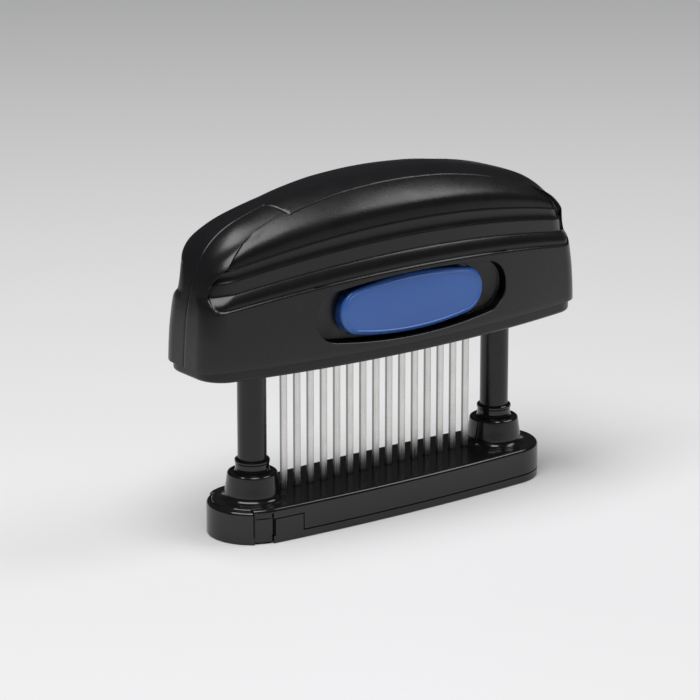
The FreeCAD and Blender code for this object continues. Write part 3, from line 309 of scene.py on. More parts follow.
HANDLE_SPECULAR = 0.42
M = {
    "handle_black": plastic("handle_black", (0.0055, 0.0055, 0.0061), (0.0072, 0.0072, 0.0079), 0.25, 0.31, 2600.0, 0.00002, specular=HANDLE_SPECULAR),
    "frame_black": plastic("frame_black", (0.0055, 0.0055, 0.0061), (0.0072, 0.0072, 0.0079), 0.30, 0.38, 2600.0, 0.00002, specular=0.40),
    "gloss_black": plastic("gloss_black", (0.006, 0.006, 0.0065), (0.008, 0.008, 0.0085), 0.10, 0.17, 900.0, 0.000002),
    "clip_black": plastic("clip_black", (0.007, 0.007, 0.0075), (0.009, 0.009, 0.0095), 0.13, 0.20, 900.0, 0.000002),
    "collar_black": plastic("collar_black", (0.005, 0.005, 0.0055), (0.007, 0.007, 0.0075), 0.07, 0.13, 700.0, 0.000002),
    "column_black": plastic("column_black", (0.007, 0.007, 0.0075), (0.009, 0.009, 0.0095), 0.22, 0.30, 1800.0, 0.000005, specular=0.42),
    "button_blue": plastic("button_blue", (0.042, 0.126, 0.420), (0.048, 0.138, 0.445), 0.20, 0.27, 1500.0, 0.000006, specular=0.45),
    "bush_acetal": plastic("bush_acetal", (0.70, 0.69, 0.65), (0.76, 0.75, 0.71), 0.35, 0.45, 1500.0, 0.000006),
    "seat_nylon": plastic("seat_nylon", (0.66, 0.64, 0.58), (0.72, 0.70, 0.64), 0.40, 0.50, 1500.0, 0.000006),
    "carrier_plastic": plastic("carrier_plastic", (0.04, 0.04, 0.042), (0.05, 0.05, 0.053), 0.40, 0.50, 1500.0, 0.000008),
    "blade_steel": metal("blade_steel", (0.70, 0.695, 0.68), (0.80, 0.795, 0.78), 0.22, 0.38, (1.0, 1.0, 0.04), 6000.0, 0.000003),
    "screw_steel": metal("screw_steel", (0.50, 0.50, 0.50), (0.58, 0.58, 0.58), 0.25, 0.38, (1.0, 1.0, 1.0), 2500.0, 0.000003),
    "spring_steel": metal("spring_steel", (0.45, 0.45, 0.45), (0.54, 0.54, 0.54), 0.22, 0.32, (1.0, 1.0, 1.0), 2500.0, 0.000002),
    "plate_steel": metal("plate_steel", (0.52, 0.52, 0.52), (0.60, 0.60, 0.60), 0.28, 0.42, (0.05, 1.0, 1.0), 4000.0, 0.000003),
}


def paint_blade_edge_reflection(mat, pitch=0.005, half=0.0011):
    """Ground faces with darker rounded edges, from the place across each blade; the darker edge bands are painted
    reflection of the dark base and handle.
    """
    nt = mat.node_tree
    bsdf = next(n for n in nt.nodes if n.type == "BSDF_PRINCIPLED")
    tc = next(n for n in nt.nodes if n.type == "TEX_COORD")
    sep = nt.nodes.new("ShaderNodeSeparateXYZ")
    nt.links.new(tc.outputs["Object"], sep.inputs["Vector"])

    def math_node(op, a, b=None):
        m = nt.nodes.new("ShaderNodeMath")
        m.operation = op
        nt.links.new(a, m.inputs[0])
        if b is not None:
            m.inputs[1].default_value = b
        return m.outputs["Value"]

    across = math_node("ABSOLUTE", math_node("SUBTRACT", math_node("FRACT", math_node("ADD", math_node("DIVIDE", sep.outputs["X"], pitch), 10.5)), 0.5))
    place = math_node("MULTIPLY", across, pitch / half)
    ramp = nt.nodes.new("ShaderNodeValToRGB")
    nt.links.new(place, ramp.inputs["Fac"])
    el = ramp.color_ramp.elements
    # painted reflection: the ramp darkens the blade towards its edges
    stops = [(0.0, 1.0), (0.30, 1.0), (0.42, 0.86), (0.54, 1.0), (0.78, 0.95), (0.90, 0.55), (1.0, 0.38)]
    while len(el) < len(stops):
        el.new(0.5)
    for e, (at, v) in zip(el, stops):
        e.position = at
        e.color = (v, v * 0.995, v * 0.985, 1)
    old = bsdf.inputs["Base Color"].links[0].from_socket
    mix = nt.nodes.new("ShaderNodeMix")
    mix.data_type = "RGBA"
    mix.blend_type = "MULTIPLY"
    mix.inputs["Factor"].default_value = 1.0
    a, b = [i for i in mix.inputs if i.type == "RGBA"][:2]
    out = [o for o in mix.outputs if o.type == "RGBA"][0]
    nt.links.new(old, a)
    nt.links.new(ramp.outputs["Color"], b)
    nt.links.new(out, bsdf.inputs["Base Color"])


paint_blade_edge_reflection(M["blade_steel"])


def paint_recess_shade(mat):
    """Painted shade: the steep walls of the oval recess are coloured nearly black and their specular is turned down,
    standing in for the shade that falls inside the recess.
    """
    nt = mat.node_tree
    bsdf = next(n for n in nt.nodes if n.type == "BSDF_PRINCIPLED")
    tc = next(n for n in nt.nodes if n.type == "TEX_COORD")
    sep = nt.nodes.new("ShaderNodeSeparateXYZ")
    nt.links.new(tc.outputs["Object"], sep.inputs["Vector"])

    def math_node(op, a, b):
        m = nt.nodes.new("ShaderNodeMath")
        m.operation = op
        for i, v in enumerate((a, b)):
            if isinstance(v, (int, float)):
                m.inputs[i].default_value = v
            else:
                nt.links.new(v, m.inputs[i])
        return m.outputs["Value"]

    x = math_node("SUBTRACT", sep.outputs["X"], 0.0008)
    bow = math_node("MULTIPLY", math_node("MULTIPLY", sep.outputs["X"], sep.outputs["X"]), 1 / 0.64)
    depth = math_node("SUBTRACT", bow, sep.outputs["Y"])      # distance of the place from mid depth, bow taken out
    level_ = math_node("ABSOLUTE", math_node("SUBTRACT", sep.outputs["Z"], 0.0683), 0.0)
    parts = [
        ranged(nt, depth, 1.0, 0.0, 0.01925, 0.0194),
        ranged(nt, math_node("MULTIPLY", sep.outputs["Y"], -1.0), 0.0, 1.0, 0.01483, 0.01493),
        ranged(nt, level_, 1.0, 0.0, 0.0103, 0.0104),
        ranged(nt, math_node("ABSOLUTE", x, 0.0), 1.0, 0.0, 0.0364, 0.0365),
    ]
    painted_shade_mask = parts[0]
    for q in parts[1:]:
        painted_shade_mask = math_node("MULTIPLY", painted_shade_mask, q)
    keep = math_node("SUBTRACT", 1.0, painted_shade_mask)
    mix = nt.nodes.new("ShaderNodeMix")
    mix.data_type = "RGBA"
    a, b = [i for i in mix.inputs if i.type == "RGBA"][:2]
    out = [o for o in mix.outputs if o.type == "RGBA"][0]
    nt.links.new(painted_shade_mask, mix.inputs["Factor"])
    nt.links.new(bsdf.inputs["Base Color"].links[0].from_socket, a)
    # painted shade: near-black colour for the recess walls
    b.default_value = (0.0015, 0.0015, 0.0016, 1)
    nt.links.new(out, bsdf.inputs["Base Color"])
    # specular turned down where the shade is painted
    nt.links.new(ranged(nt, keep, 0.04, HANDLE_SPECULAR, 0.0, 1.0), bsdf.inputs["Specular IOR Level"])


paint_recess_shade(M["handle_black"])
SLOT = {s["node"]: s["material_slot"] for s in frame["record"]["subparts"]}


def dress(ob, slot):
    ob.data.materials.clear()
    ob.data.materials.append(M[slot])


# ----------------------------------------------------------------------------
# handle surface: arched rings from the shell's lower edge to the hood, then a
# domed crown. Two versions share the rings, one with the scooped band along the
# side and one without; they are blended across the scoop's curved end
# ----------------------------------------------------------------------------
SIDE_R = 320.0
# crown line over mid depth: x, height
CROWN = [(0, 106.55), (1.5, 106.545), (16, 105.9), (30, 104.0), (40, 101.8), (48, 99.45), (54, 97.3), (59, 94.5), (63, 90.9), (65, 88.0),
         (66.3, 85.4)]
# end line over mid depth: height, half length, corner radius in plan
END = [(56.2, 71.15, 7.4), (60, 71.0, 7.43), (66, 70.62, 7.5), (72, 70.0, 7.95), (74, 69.68, 8.1), (75.5, 69.4, 8.5),
       (76.6, 69.16, 9.4), (78.2, 68.8, 11.3), (80, 68.35, 11.1), (83, 67.4, 10.4), (85.4, 66.3, 8.9), (85.8, 66.1, 8.7)]
# height over mid length, height at the ends, half depth with the scoop, half depth without it
ROWS = [
    (56.20, 56.20, 19.75, 19.75), (56.28, 56.28, 19.88, 19.88), (56.50, 56.50, 19.94, 19.94),
    (60.00, 60.00, 19.94, 19.94), (66.00, 65.30, 19.86, 19.86), (73.50, 69.50, 19.70, 19.70),
    (78.60, 72.80, 19.58, 19.58), (79.45, 73.42, 19.54, 19.55), (79.60, 73.54, 19.47, 19.54), (79.75, 73.65, 19.34, 19.53),
    (79.90, 73.78, 19.18, 19.52), (80.02, 73.90, 19.09, 19.52), (80.20, 74.05, 19.05, 19.52), (81.30, 74.95, 18.97, 19.51),
    (82.30, 75.70, 18.78, 19.50), (83.20, 76.40, 18.44, 19.50), (84.00, 77.02, 18.00, 19.50), (84.25, 77.22, 17.84, 19.50),
    (84.40, 77.35, 17.72, 19.50), (84.58, 77.52, 17.55, 19.50), (84.75, 77.68, 17.44, 19.49), (84.95, 77.88, 17.41, 19.49),
    (86.90, 79.65, 17.41, 19.48), (89.05, 81.55, 17.40, 19.46), (89.25, 81.74, 17.36, 19.46), (89.40, 81.88, 17.25, 19.45),
    (89.75, 82.20, 17.08, 19.44), (90.30, 82.70, 16.90, 19.43), (91.20, 83.45, 16.76, 19.41), (92.40, 84.30, 16.70, 19.38),
    (93.45, 85.00, 16.69, 19.35), (93.60, 85.11, 16.66, 19.34), (93.78, 85.24, 16.54, 19.33), (94.00, 85.40, 16.46, 19.32),
]
# cross section of the crown over the scoop: share of the half depth, share of the height
SECTION = [(1, 0), (.996, .05), (.99, .12), (.98, .215), (.97, .262), (.955, .315), (.94, .353), (.92, .392), (.9, .425),
           (.87, .468), (.83, .518), (.78, .575), (.7, .657), (.6, .748), (.5, .825), (.4, .889), (.3, .94), (.2, .976), (.1, .994), (0, 1)]
# the rear half is fuller
SECTION_REAR = [(1, 0), (.997, .08), (.991, .17), (.978, .28), (.953, .40), (.918, .51), (.87, .61), (.80, .72), (.70, .835),
                (.60, .912), (.5, .946), (.4, .966), (.2, .993), (0, 1)]
PLAIN_POWER = 1.82
REAR_POWER = 3.4
# end of the scoop: distance round the corner and along the side, height, width of the blend
EDGE = [(30.0, 72.8, 0.5), (12.2, 74.8, 0.5), (10.2, 74.6, 0.5), (8.4, 74.7, 0.6), (6.9, 75.25, 0.8), (6.0, 76.0, 1.1),
        (5.3, 77.1, 1.5), (4.8, 78.3, 1.7), (4.5, 79.6, 1.7), (4.35, 80.9, 1.6), (4.5, 82.0, 1.5), (4.85, 83.0, 1.4),
        (5.3, 84.1, 1.3), (5.95, 85.15, 1.3), (6.85, 86.1, 1.4), (7.8, 87.0, 1.6), (8.7, 88.1, 1.9), (9.5, 89.4, 2.2),
        (10.2, 90.7, 2.4), (10.8, 91.9, 2.6), (11.4, 93.0, 3.0), (12.4, 94.2, 4.0), (14.5, 95.6, 5.5), (18.0, 97.2, 8.0),
        (23.0, 100.0, 11.0), (28.0, 103.0, 13.0)]
CROWN_F = monotone([a for a, _ in CROWN], [b for _, b in CROWN])
END_A = monotone([a for a, _, _ in END], [b for _, b, _ in END])
END_RC = monotone([a for a, _, _ in END], [c for _, _, c in END])
SECTION_F = monotone([1 - t for t, _ in SECTION], [h for _, h in SECTION])
SECTION_R = monotone([1 - t for t, _ in SECTION_REAR], [h for _, h in SECTION_REAR])


def plain_section(t, power=PLAIN_POWER):
    return np.maximum(0, 1 - t**power) ** (1 / power)


def quarter(A, B, rc, n_end, n_cor, n_side):
    """Points from the middle of the end (A, 0) round the corner to the middle of the side (0, B), and a running distance."""
    while True:
        cx = A - rc
        cy = B - SIDE_R + math.sqrt((SIDE_R - rc) ** 2 - cx**2)
        if cy >= 0.05:
            break
        rc -= 0.02
    k = SIDE_R / (SIDE_R - rc)
    tx = cx * k
    ty = (B - SIDE_R) + (cy - (B - SIDE_R)) * k
    end = math.atan2(ty - cy, tx - cx)
    pts, s = [], []
    for i in range(n_end):
        pts.append((A, cy * i / n_end))
        s.append(-cy * (1 - i / n_end))
    for i in range(n_cor):
        a = end * i / n_cor
        pts.append((cx + rc * math.cos(a), cy + rc * math.sin(a)))
        s.append(math.degrees(a) * 0.15)
    for i in range(n_side + 1):
        x = tx * (1 - i / n_side)
        pts.append((x, B - SIDE_R + math.sqrt(SIDE_R**2 - x**2)))
        s.append(math.degrees(end) * 0.15 + tx - x)
    return np.array(pts), np.array(s)


def level(zf, ze, x, A):
    """Height along an arched ring: zf at mid length, ze at the ends."""
    return zf + (ze - zf) * np.minimum(1.0, np.abs(x) / A) ** 2.0


def edge_distance(a, z):
    """Signed distance to the scoop's end line, positive inside the scoop, and the place along the line."""
    best = np.full(np.shape(a), 1e9)
    sign = np.ones(np.shape(a))
    at = np.zeros(np.shape(a))
    for k, ((a0, z0, _), (a1, z1, _)) in enumerate(zip(EDGE, EDGE[1:])):
        dx, dz = a1 - a0, z1 - z0
        t = np.clip(((a - a0) * dx + (z - z0) * dz) / (dx * dx + dz * dz), 0, 1)
        d = np.hypot(a - a0 - t * dx, z - z0 - t * dz)
        side = dx * (z - z0) - dz * (a - a0)
        closer = d < best - 1e-9
        sign = np.where(closer, np.where(side < 0, 1.0, -1.0), sign)
        at = np.where(closer, k + t, at)
        best = np.minimum(best, d)
    return best * sign, at


def dome(base, c, zf, ze, A, top, section):
    """One ring of the crown, at the share c of the ring it stands on."""
    x, y = base[:, 0] * c, base[:, 1] * c
    order = np.argsort(base[:, 0])
    w = np.interp(np.abs(x), base[order, 0], base[order, 1])
    t = np.minimum(1.0, np.abs(y) / np.maximum(w, 1e-6))
    zb = level(zf, ze, x, A)
    return np.column_stack([x, y, zb + np.maximum(0, top(x) - zb) * section(t)])


def all_round(q, front=None):
    """Closed rings from the rows of the rear quarter and of the front one."""
    out = []
    for r, f in zip(q, q if front is None else front):
        out.append(np.concatenate([r, r[:-1][::-1] * np.array([-1, 1, 1]), f[1:] * np.array([-1, -1, 1]),
                                   f[1:-1][::-1] * np.array([1, -1, 1])]))
    return out


def ring_solid(name, q, front=None):
    """Closed solid from quarter rows; the last row is the peak."""
    loops = all_round(q, front)
    apex = loops[-1][0]
    loops = loops[:-1]
    n = len(loops[0])
    verts = [tuple(p) for loop in loops for p in loop]
    faces = []
    for j in range(len(loops) - 1):
        for i in range(n):
            a, b = j * n + i, j * n + (i + 1) % n
            faces.append((a, b, b + n, a + n))
    faces.append(tuple(range(n - 1, -1, -1)))
    verts.append(tuple(apex))
    k = len(verts) - 1
    last = (len(loops) - 1) * n
    for i in range(n):
        faces.append((last + i, last + (i + 1) % n, k))
    ob = add_mesh(name, verts, faces)
    fix_normals(ob)
    return ob


class Handle:
    """The outer surface as a grid of points: rows up the side, columns round a quarter of the plan."""

    def __init__(self, power=PLAIN_POWER, section=SECTION_F, join=False, n_end=6, n_cor=84, n_side=64,
                 density=0.42):
        rows = np.array(ROWS, float)
        span = np.concatenate([[0], np.cumsum(np.maximum(0.05, np.hypot(np.diff(rows[:, 0]), np.diff(rows[:, 2]))))])
        fs = [monotone(span, rows[:, k]) for k in range(4)]
        vs = [span[0]]
        for a, b in zip(span, span[1:]):
            n = max(1, int(math.ceil((b - a) / (density if a > span[5] else 2.2))))
            vs += list(a + (b - a) * (np.arange(n) + 1) / n)
        scooped, plain, dist = [], [], []
        for v in vs:
            zf, ze, Bs, Bu = (float(f(v)) for f in fs)
            A, rc = float(END_A(ze)), float(END_RC(ze))
            ps, _ = quarter(A, Bs, rc, n_end, n_cor, n_side)
            pu, s = quarter(A, Bu, rc, n_end, n_cor, n_side)
            scooped.append(np.column_stack([ps, level(zf, ze, ps[:, 0], A)]))
            plain.append(np.column_stack([pu, level(zf, ze, pu[:, 0], A)]))
            dist.append(s)
        self.n_wall = len(scooped)
        self.zf, self.ze = rows[-1, 0], rows[-1, 1]
        self.A = float(END_A(self.ze))
        sb, ub, s0 = scooped[-1], plain[-1], dist[-1]
        self.base = sb
        for c in 1 - (np.linspace(0, 1, 56)[1:] ** 1.9):
            scooped.append(dome(sb, c, self.zf, self.ze, self.A, self.top, lambda t: section(1 - t)))
            plain.append(dome(ub, c, self.zf, self.ze, self.A, self.top, lambda t: plain_section(t, power)))
            if join:
                self.follow(plain[-1], section)
            # on the crown the distance is read off the length, so that the end line runs on upward
            dist.append(s0 + np.maximum(0, ub[:, 0] - plain[-1][:, 0]) * np.clip((s0 + 3) / 16.0, 0, 1))
        S, U, s = np.array(scooped), np.array(plain), np.array(dist)
        d, at = edge_distance(s, U[:, :, 2])
        wid = np.array([w for _, _, w in EDGE])
        k = np.clip(at.astype(int), 0, len(wid) - 2)
        W = smoothstep(d / (wid[k] + (wid[k + 1] - wid[k]) * (at - k)) + 0.5)
        self.q = U + (S - U) * W[:, :, None]
        self.q[-1, :, 0:2] = 0

    def follow(self, p, section):
        """Lets the plain crown run into the scooped one toward the middle, so that no step shows between them."""
        order = np.argsort(self.base[:, 0])
        w = np.interp(p[:, 0], self.base[order, 0], self.base[order, 1])
        t = np.minimum(1.0, p[:, 1] / np.maximum(w, 1e-6))
        zb = level(self.zf, self.ze, p[:, 0], self.A)
        z = zb + np.maximum(0.0, self.top(p[:, 0]) - zb) * section(1 - t)
        p[:, 2] = z + (p[:, 2] - z) * smoothstep((t - 0.5) / 0.5)

    @staticmethod
    def top(x):
        return CROWN_F(np.minimum(np.abs(x), 66.3))

    def height(self, x, y):
        """Crown height where the scooped version holds, and anywhere over mid depth."""
        order = np.argsort(self.base[:, 0])
        w = np.interp(np.abs(x), self.base[order, 0], self.base[order, 1])
        t = np.minimum(1.0, np.abs(y) / np.maximum(w, 1e-6))
        zb = level(self.zf, self.ze, x, self.A)
        return zb + np.maximum(0.0, self.top(x) - zb) * SECTION_F(1 - t)


WALL = 2.2
# inner skin: height over mid length, at the ends, half length, half depth, corner radius
INNER = [
    (50.0, 50.0, 69.00, 17.60, 8.0), (60.0, 60.0, 69.00, 17.60, 8.0), (70.0, 67.5, 68.20, 17.45, 8.0),
    (78.0, 70.8, 67.60, 17.15, 8.0), (80.6, 73.2, 67.10, 16.35, 8.0), (82.3, 75.2, 66.70, 15.25, 8.0),
    (87.0, 79.0, 65.80, 14.95, 7.8), (92.0, 82.6, 64.20, 14.25, 7.4),
]


def inner_solid():
    rows = np.array(INNER, float)
    q = []
    for a, b in zip(rows, rows[1:]):
        n = max(1, int(math.ceil(abs(b[0] - a[0]) / 1.6)))
        for i in range(n):
            q.append(a + (b - a) * i / n)
    q.append(rows[-1])
    grid = []
    for zf, ze, A, B, rc in q:
        p, _ = quarter(A, B, rc, 3, 16, 24)
        grid.append(np.column_stack([p, level(zf, ze, p[:, 0], A)]))
    zf, ze, A, B, rc = q[-1]
    base = grid[-1]
    for c in 1 - (np.linspace(0, 1, 30)[1:] ** 1.7):
        grid.append(dome(base, c, zf, ze, A, lambda x: CROWN_F(np.minimum(np.abs(x) * 1.035, 66.3)) - WALL, lambda t: np.maximum(0, 1 - t**2.55) ** (1 / 2.55)))
    grid[-1][:, 0:2] = 0
    return ring_solid("handle_inner", grid)


FACE_X = 0.8  # middle of the oval recess and the button along the handle


def oval_loop(A, B, rc, Rs, zc, y, n_end=4, n_cor=18, n_side=30):
    """Closed loop of an oval in the X-Z plane; y may be a number or a function of (x, z)."""
    cx = A - rc
    cy = B - Rs + math.sqrt((Rs - rc) ** 2 - cx**2)
    cy = max(cy, 0.02)
    k = Rs / (Rs - rc)
    tx, ty = cx * k, (B - Rs) + (cy - (B - Rs)) * k
    end = math.atan2(ty - cy, tx - cx)
    q = []
    for i in range(n_end):
        q.append((A, cy * i / n_end))
    for i in range(n_cor):
        a = end * i / n_cor
        q.append((cx + rc * math.cos(a), cy + rc * math.sin(a)))
    for i in range(n_side + 1):
        x = tx * (1 - i / n_side)
        q.append((x, B - Rs + math.sqrt(Rs**2 - x**2)))
    full = q + [(-x, v) for x, v in q[:-1][::-1]] + [(-x, -v) for x, v in q[1:]] + [(x, -v) for x, v in q[1:-1][::-1]]
    out = []
    for x, v in full:
        x += FACE_X
        yy = y(x, zc + v) if callable(y) else y
        out.append((x, yy, zc + v))
    return out


def oval_inset(d, A, B, rc, Rs, zc, y):
    return oval_loop(A - d, B - d, max(0.3, rc - d), Rs - d, zc, y)


OUTER = Handle(join=True)
REAR = Handle(REAR_POWER, SECTION_R)
# depth of the front wall at (x, z), from the grid's rows
_rows = OUTER.q[: OUTER.n_wall]


def wall_y(x, z):
    """|y| of the outer wall at a place on the long side."""
    x = abs(x)
    zs, ys = [], []
    for row in _rows:
        r = row[::-1]
        zs.append(np.interp(x, r[:, 0], r[:, 2]))
        ys.append(np.interp(x, r[:, 0], r[:, 1]))
    return float(np.interp(z, zs, ys))


# step of the parting line: half length at mid depth, half length and depth of the stepped part
STEP_OUT, STEP_IN, STEP_Y = 42.0, 38.2, -8.3


def seam_tube(half=0.34, depth=0.14):
    """Thin wedge that follows the parting line on the outer surface."""
    path = []
    rows = OUTER.q[: OUTER.n_wall + 1]
    for row in rows:
        path.append((-row[0][0], 0.0, row[0][2]))
    x_end = rows[-1][0][0]
    for x in np.linspace(-x_end + 0.25, -STEP_OUT, 60):
        path.append((x, 0.0, float(OUTER.height(x, 0.0))))
    for k in np.linspace(0, 1, 13)[1:]:
        x, y = -STEP_OUT + (STEP_OUT - STEP_IN) * k, STEP_Y * k
        path.append((x, y, float(OUTER.height(x, y))))
    for x in np.linspace(-STEP_IN, STEP_IN, 78)[1:]:
        path.append((x, STEP_Y, float(OUTER.height(x, STEP_Y))))
    for k in np.linspace(1, 0, 13)[1:]:
        x, y = STEP_OUT - (STEP_OUT - STEP_IN) * k, STEP_Y * k
        path.append((x, y, float(OUTER.height(x, y))))
    for x in np.linspace(STEP_OUT, x_end - 0.25, 60)[1:]:
        path.append((x, 0.0, float(OUTER.height(x, 0.0))))
    for row in rows[::-1]:
        path.append((row[0][0], 0.0, row[0][2]))
    P = [Vector(p) for p in path]
    keep = [P[0]]
    for p in P[1:]:
        if (p - keep[-1]).length > 0.15:
            keep.append(p)
    P = keep
    P[0] = P[0] - Vector((0, 0, 2.0))
    P[-1] = P[-1] - Vector((0, 0, 2.0))
    loops = []
    for i, p in enumerate(P):
        t = (P[min(i + 1, len(P) - 1)] - P[max(i - 1, 0)]).normalized()
        # outward normal: away from the middle of the handle, across the path
        out = Vector((p.x * 0.35, p.y * 1.2, max(0.0, p.z - 84.0) * 2.2))
        e = 0.05
        if p.z > 90:
            hx = (OUTER.height(p.x + e, p.y) - OUTER.height(p.x - e, p.y)) / (2 * e)
            hy = (OUTER.height(p.x, p.y + e) - OUTER.height(p.x, p.y - e)) / (2 * e)
            out = Vector((-float(hx), -float(hy), 1.0))
        out = (out - t * out.dot(t)).normalized()
        side = t.cross(out).normalized()
        loops.append([p + out * 0.3 + side * half * 2.2, p + out * 0.3 - side * half * 2.2, p - out * depth])
    return loops_solid("seam_tool", [[tuple(v) for v in l] for l in loops], smooth=False)


def build_shells():
    outer = ring_solid("handle_outer", REAR.q, OUTER.q)
    inner = inner_solid()
    # material left standing inside: the tub behind the recess and the screw bosses
    tub = loops_solid("tub", [oval_loop(37.8, 11.7, 9.0, 201.0, 68.3, y) for y in (-25.0, -13.6)], smooth=False)
    boolean(inner, tub)
    for s in (-1, 1):
        for x, z, face in ((34.0 * s, 74.4, 4.5), (61.0 * s, 66.0, 0.05)):
            boolean(inner, rod_y("boss", 3.3, face, 30, x, z, 40))
            boolean(inner, rod_y("boss", 3.3, -30, -face, x, z, 40))
    boolean(outer, inner)

    # oval recess: a crisp, slightly eased mouth and end walls that lean in towards the floor
    zc = 68.3

    def mouth(t, d, y):
        return oval_inset(d, 36.0 - 0.4 * t, 10.0 - 0.2 * t, 7.6 - 0.2 * t, 200.0, zc, y)

    r = 0.32
    loops = [mouth(0, -3.0, -26.0), mouth(0, -0.25 - 0.5, lambda x, z: -wall_y(x, z) - 0.5)]
    for ang in (35, 48, 60, 75, 90):
        a = math.radians(ang)
        sink = r - r * math.cos(a)
        loops.append(mouth(0, -(r - r * math.sin(a)), lambda x, z, s=sink: -wall_y(x, z) + s - 0.02))
    rr = 0.35
    for t in (0.25, 0.5, 0.75):
        loops.append(mouth(t, 0.0, lambda x, z, t=t: (1 - t) * (r - 0.02 - wall_y(x, z)) - t * (14.8 - rr)))
    for ang in (0, 30, 60, 90):
        a = math.radians(ang)
        loops.append(mouth(1, rr * (1 - math.cos(a)), -14.8 - rr * (1 - math.sin(a))))
    boolean(outer, loops_solid("recess_tool", loops, smooth=False))

    # opening for the button
    loops = [oval_inset(-0.3, 26.9, 9.25, 7.3, 110.0, 68.5, y) for y in (-16.2, -10.0)]
    boolean(outer, loops_solid("opening_tool", loops, smooth=False))

    # screw recesses in the rear wall and pilot holes
    for s in (-1, 1):
        for x, z, face in ((34.0 * s, 74.4, 4.5), (61.0 * s, 66.0, 0.0)):
            y_out = wall_y(x, z)
            loops = []
            for r_, y_ in ((1.75, face - 0.6), (1.75, face + 6.2), (3.1, face + 6.2), (3.1, y_out - 0.35), (3.2, y_out - 0.12),
                           (3.45, y_out + 0.02), (4.2, y_out + 0.25), (4.2, y_out + 6)):
                loops.append([(x + r_ * math.cos(t), y_, z + r_ * math.sin(t)) for t in np.linspace(0, 2 * math.pi, 56, endpoint=False)])
            boolean(outer, loops_solid("screw_tool", loops, smooth=False))
            boolean(outer, rod_y("pilot_tool", 1.3, -face - 9.0, -face + 0.4, x, z, 32))

    boolean(outer, seam_tube())
    # stepped parting between the front and the rear shell
    front_zone = box_mesh("front_zone", (-90, -40, 40), (90, -0.02, 130))
    plan = [(-STEP_OUT, 0), (-STEP_IN, STEP_Y), (STEP_IN, STEP_Y), (STEP_OUT, 0), (STEP_OUT, 5), (-STEP_OUT, 5)]
    boolean(front_zone, loops_solid("tongue", [[(x, y, z) for x, y in plan] for z in (96.3, 131)], smooth=False))
    rear = outer.copy()
    rear.data = outer.data.copy()
    scene.collection.objects.link(rear)
    boolean(outer, front_zone, "INTERSECT", keep_tool=True)
    boolean(rear, front_zone)
    for ob, name, node in ((outer, "front_shell", "handle_front_shell"), (rear, "rear_shell", "handle_rear_shell")):
        ob.name = name
        clean(ob)
        dress(ob, "handle_black")
        shade(ob, True, 32)
        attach(ob, "handle")
        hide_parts(node)


build_shells()


# ----------------------------------------------------------------------------
# blue button: rounded edge, a fine raised border and a gently bowed face
# ----------------------------------------------------------------------------
def build_button():
    A, B, rc, Rs, zc = 26.9, 9.25, 7.3, 110.0, 68.5

    def face(depth):
        return lambda x, z: -(depth - 0.35 * ((x - FACE_X) / 27.0) ** 2 - 0.10 * ((z - zc) / 9.0) ** 2)

    # (inset, depth of the face there)
    rim = [(0.85, 13.4), (0.80, 15.2), (0.35, 16.4), (0.05, 17.1), (0.0, 17.35), (0.04, 17.6), (0.17, 17.88), (0.38, 18.12),
           (0.62, 18.27), (0.86, 18.36), (1.00, 18.44), (1.12, 18.60), (1.22, 18.69), (1.34, 18.71), (1.46, 18.64), (1.56, 18.48),
           (1.68, 18.38), (1.85, 18.35), (2.2, 18.36), (2.8, 18.38)]
    loops = [oval_inset(d, A, B, rc, Rs, zc, -h if i < 1 else face(h)) for i, (d, h) in enumerate(rim)]
    base = oval_inset(2.8, A, B, rc, Rs, zc, 0.0)
    for s in (0.9, 0.78, 0.62, 0.45, 0.28, 0.12):
        f = face(18.38 + 0.10 * (1 - s))
        loops.append([(FACE_X + (x - FACE_X) * s, f(FACE_X + (x - FACE_X) * s, zc + (z - zc) * s), zc + (z - zc) * s) for x, _, z in base])
    back = [oval_inset(-1.2, A, B, rc, Rs, zc, -12.65), oval_inset(-1.2, A, B, rc, Rs, zc, -13.4), oval_inset(0.85, A, B, rc, Rs, zc, -13.4)]
    ob = loops_solid("button", back + loops, material=None)
    dress(ob, "button_blue")
    shade(ob, True, 40)
    stem = lathe("button_stem", [(0.0, 12.7), (3.0, 12.7), (3.0, 11.55), (2.85, 11.4), (1.4, 11.4), (1.4, 9.7), (1.1, 9.4), (0.0, 9.4)], n=48)
    for v in stem.data.vertices:
        x, y, z = v.co
        v.co = (x, -z, y + zc * MM)
    fix_normals(stem)
    dress(stem, "button_blue")
    for o in (ob, stem):
        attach(o, "release")
        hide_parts("release_button")


build_button()

# ----------------------------------------------------------------------------
# CAD pieces that are kept as they are
# ----------------------------------------------------------------------------
for name, ob in frame["nodes"].items():
    if not ob.hide_render:
        dress(ob, SLOT[name])
        shade(ob, True, 28)

for name in ("main_spring_left", "main_spring_right"):
    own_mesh(frame["nodes"][name])
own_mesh(frame["nodes"]["button_spring"])

# ----------------------------------------------------------------------------
# floor, lights, camera
# ----------------------------------------------------------------------------
# painted shade: floor colour stops, darker towards the back
FLOOR_FALLOFF_STOPS = [(0.0, 0.685), (0.11, 0.68), (0.22, 0.70), (0.5, 0.67), (0.93, 0.61), (1.0, 0.60)]


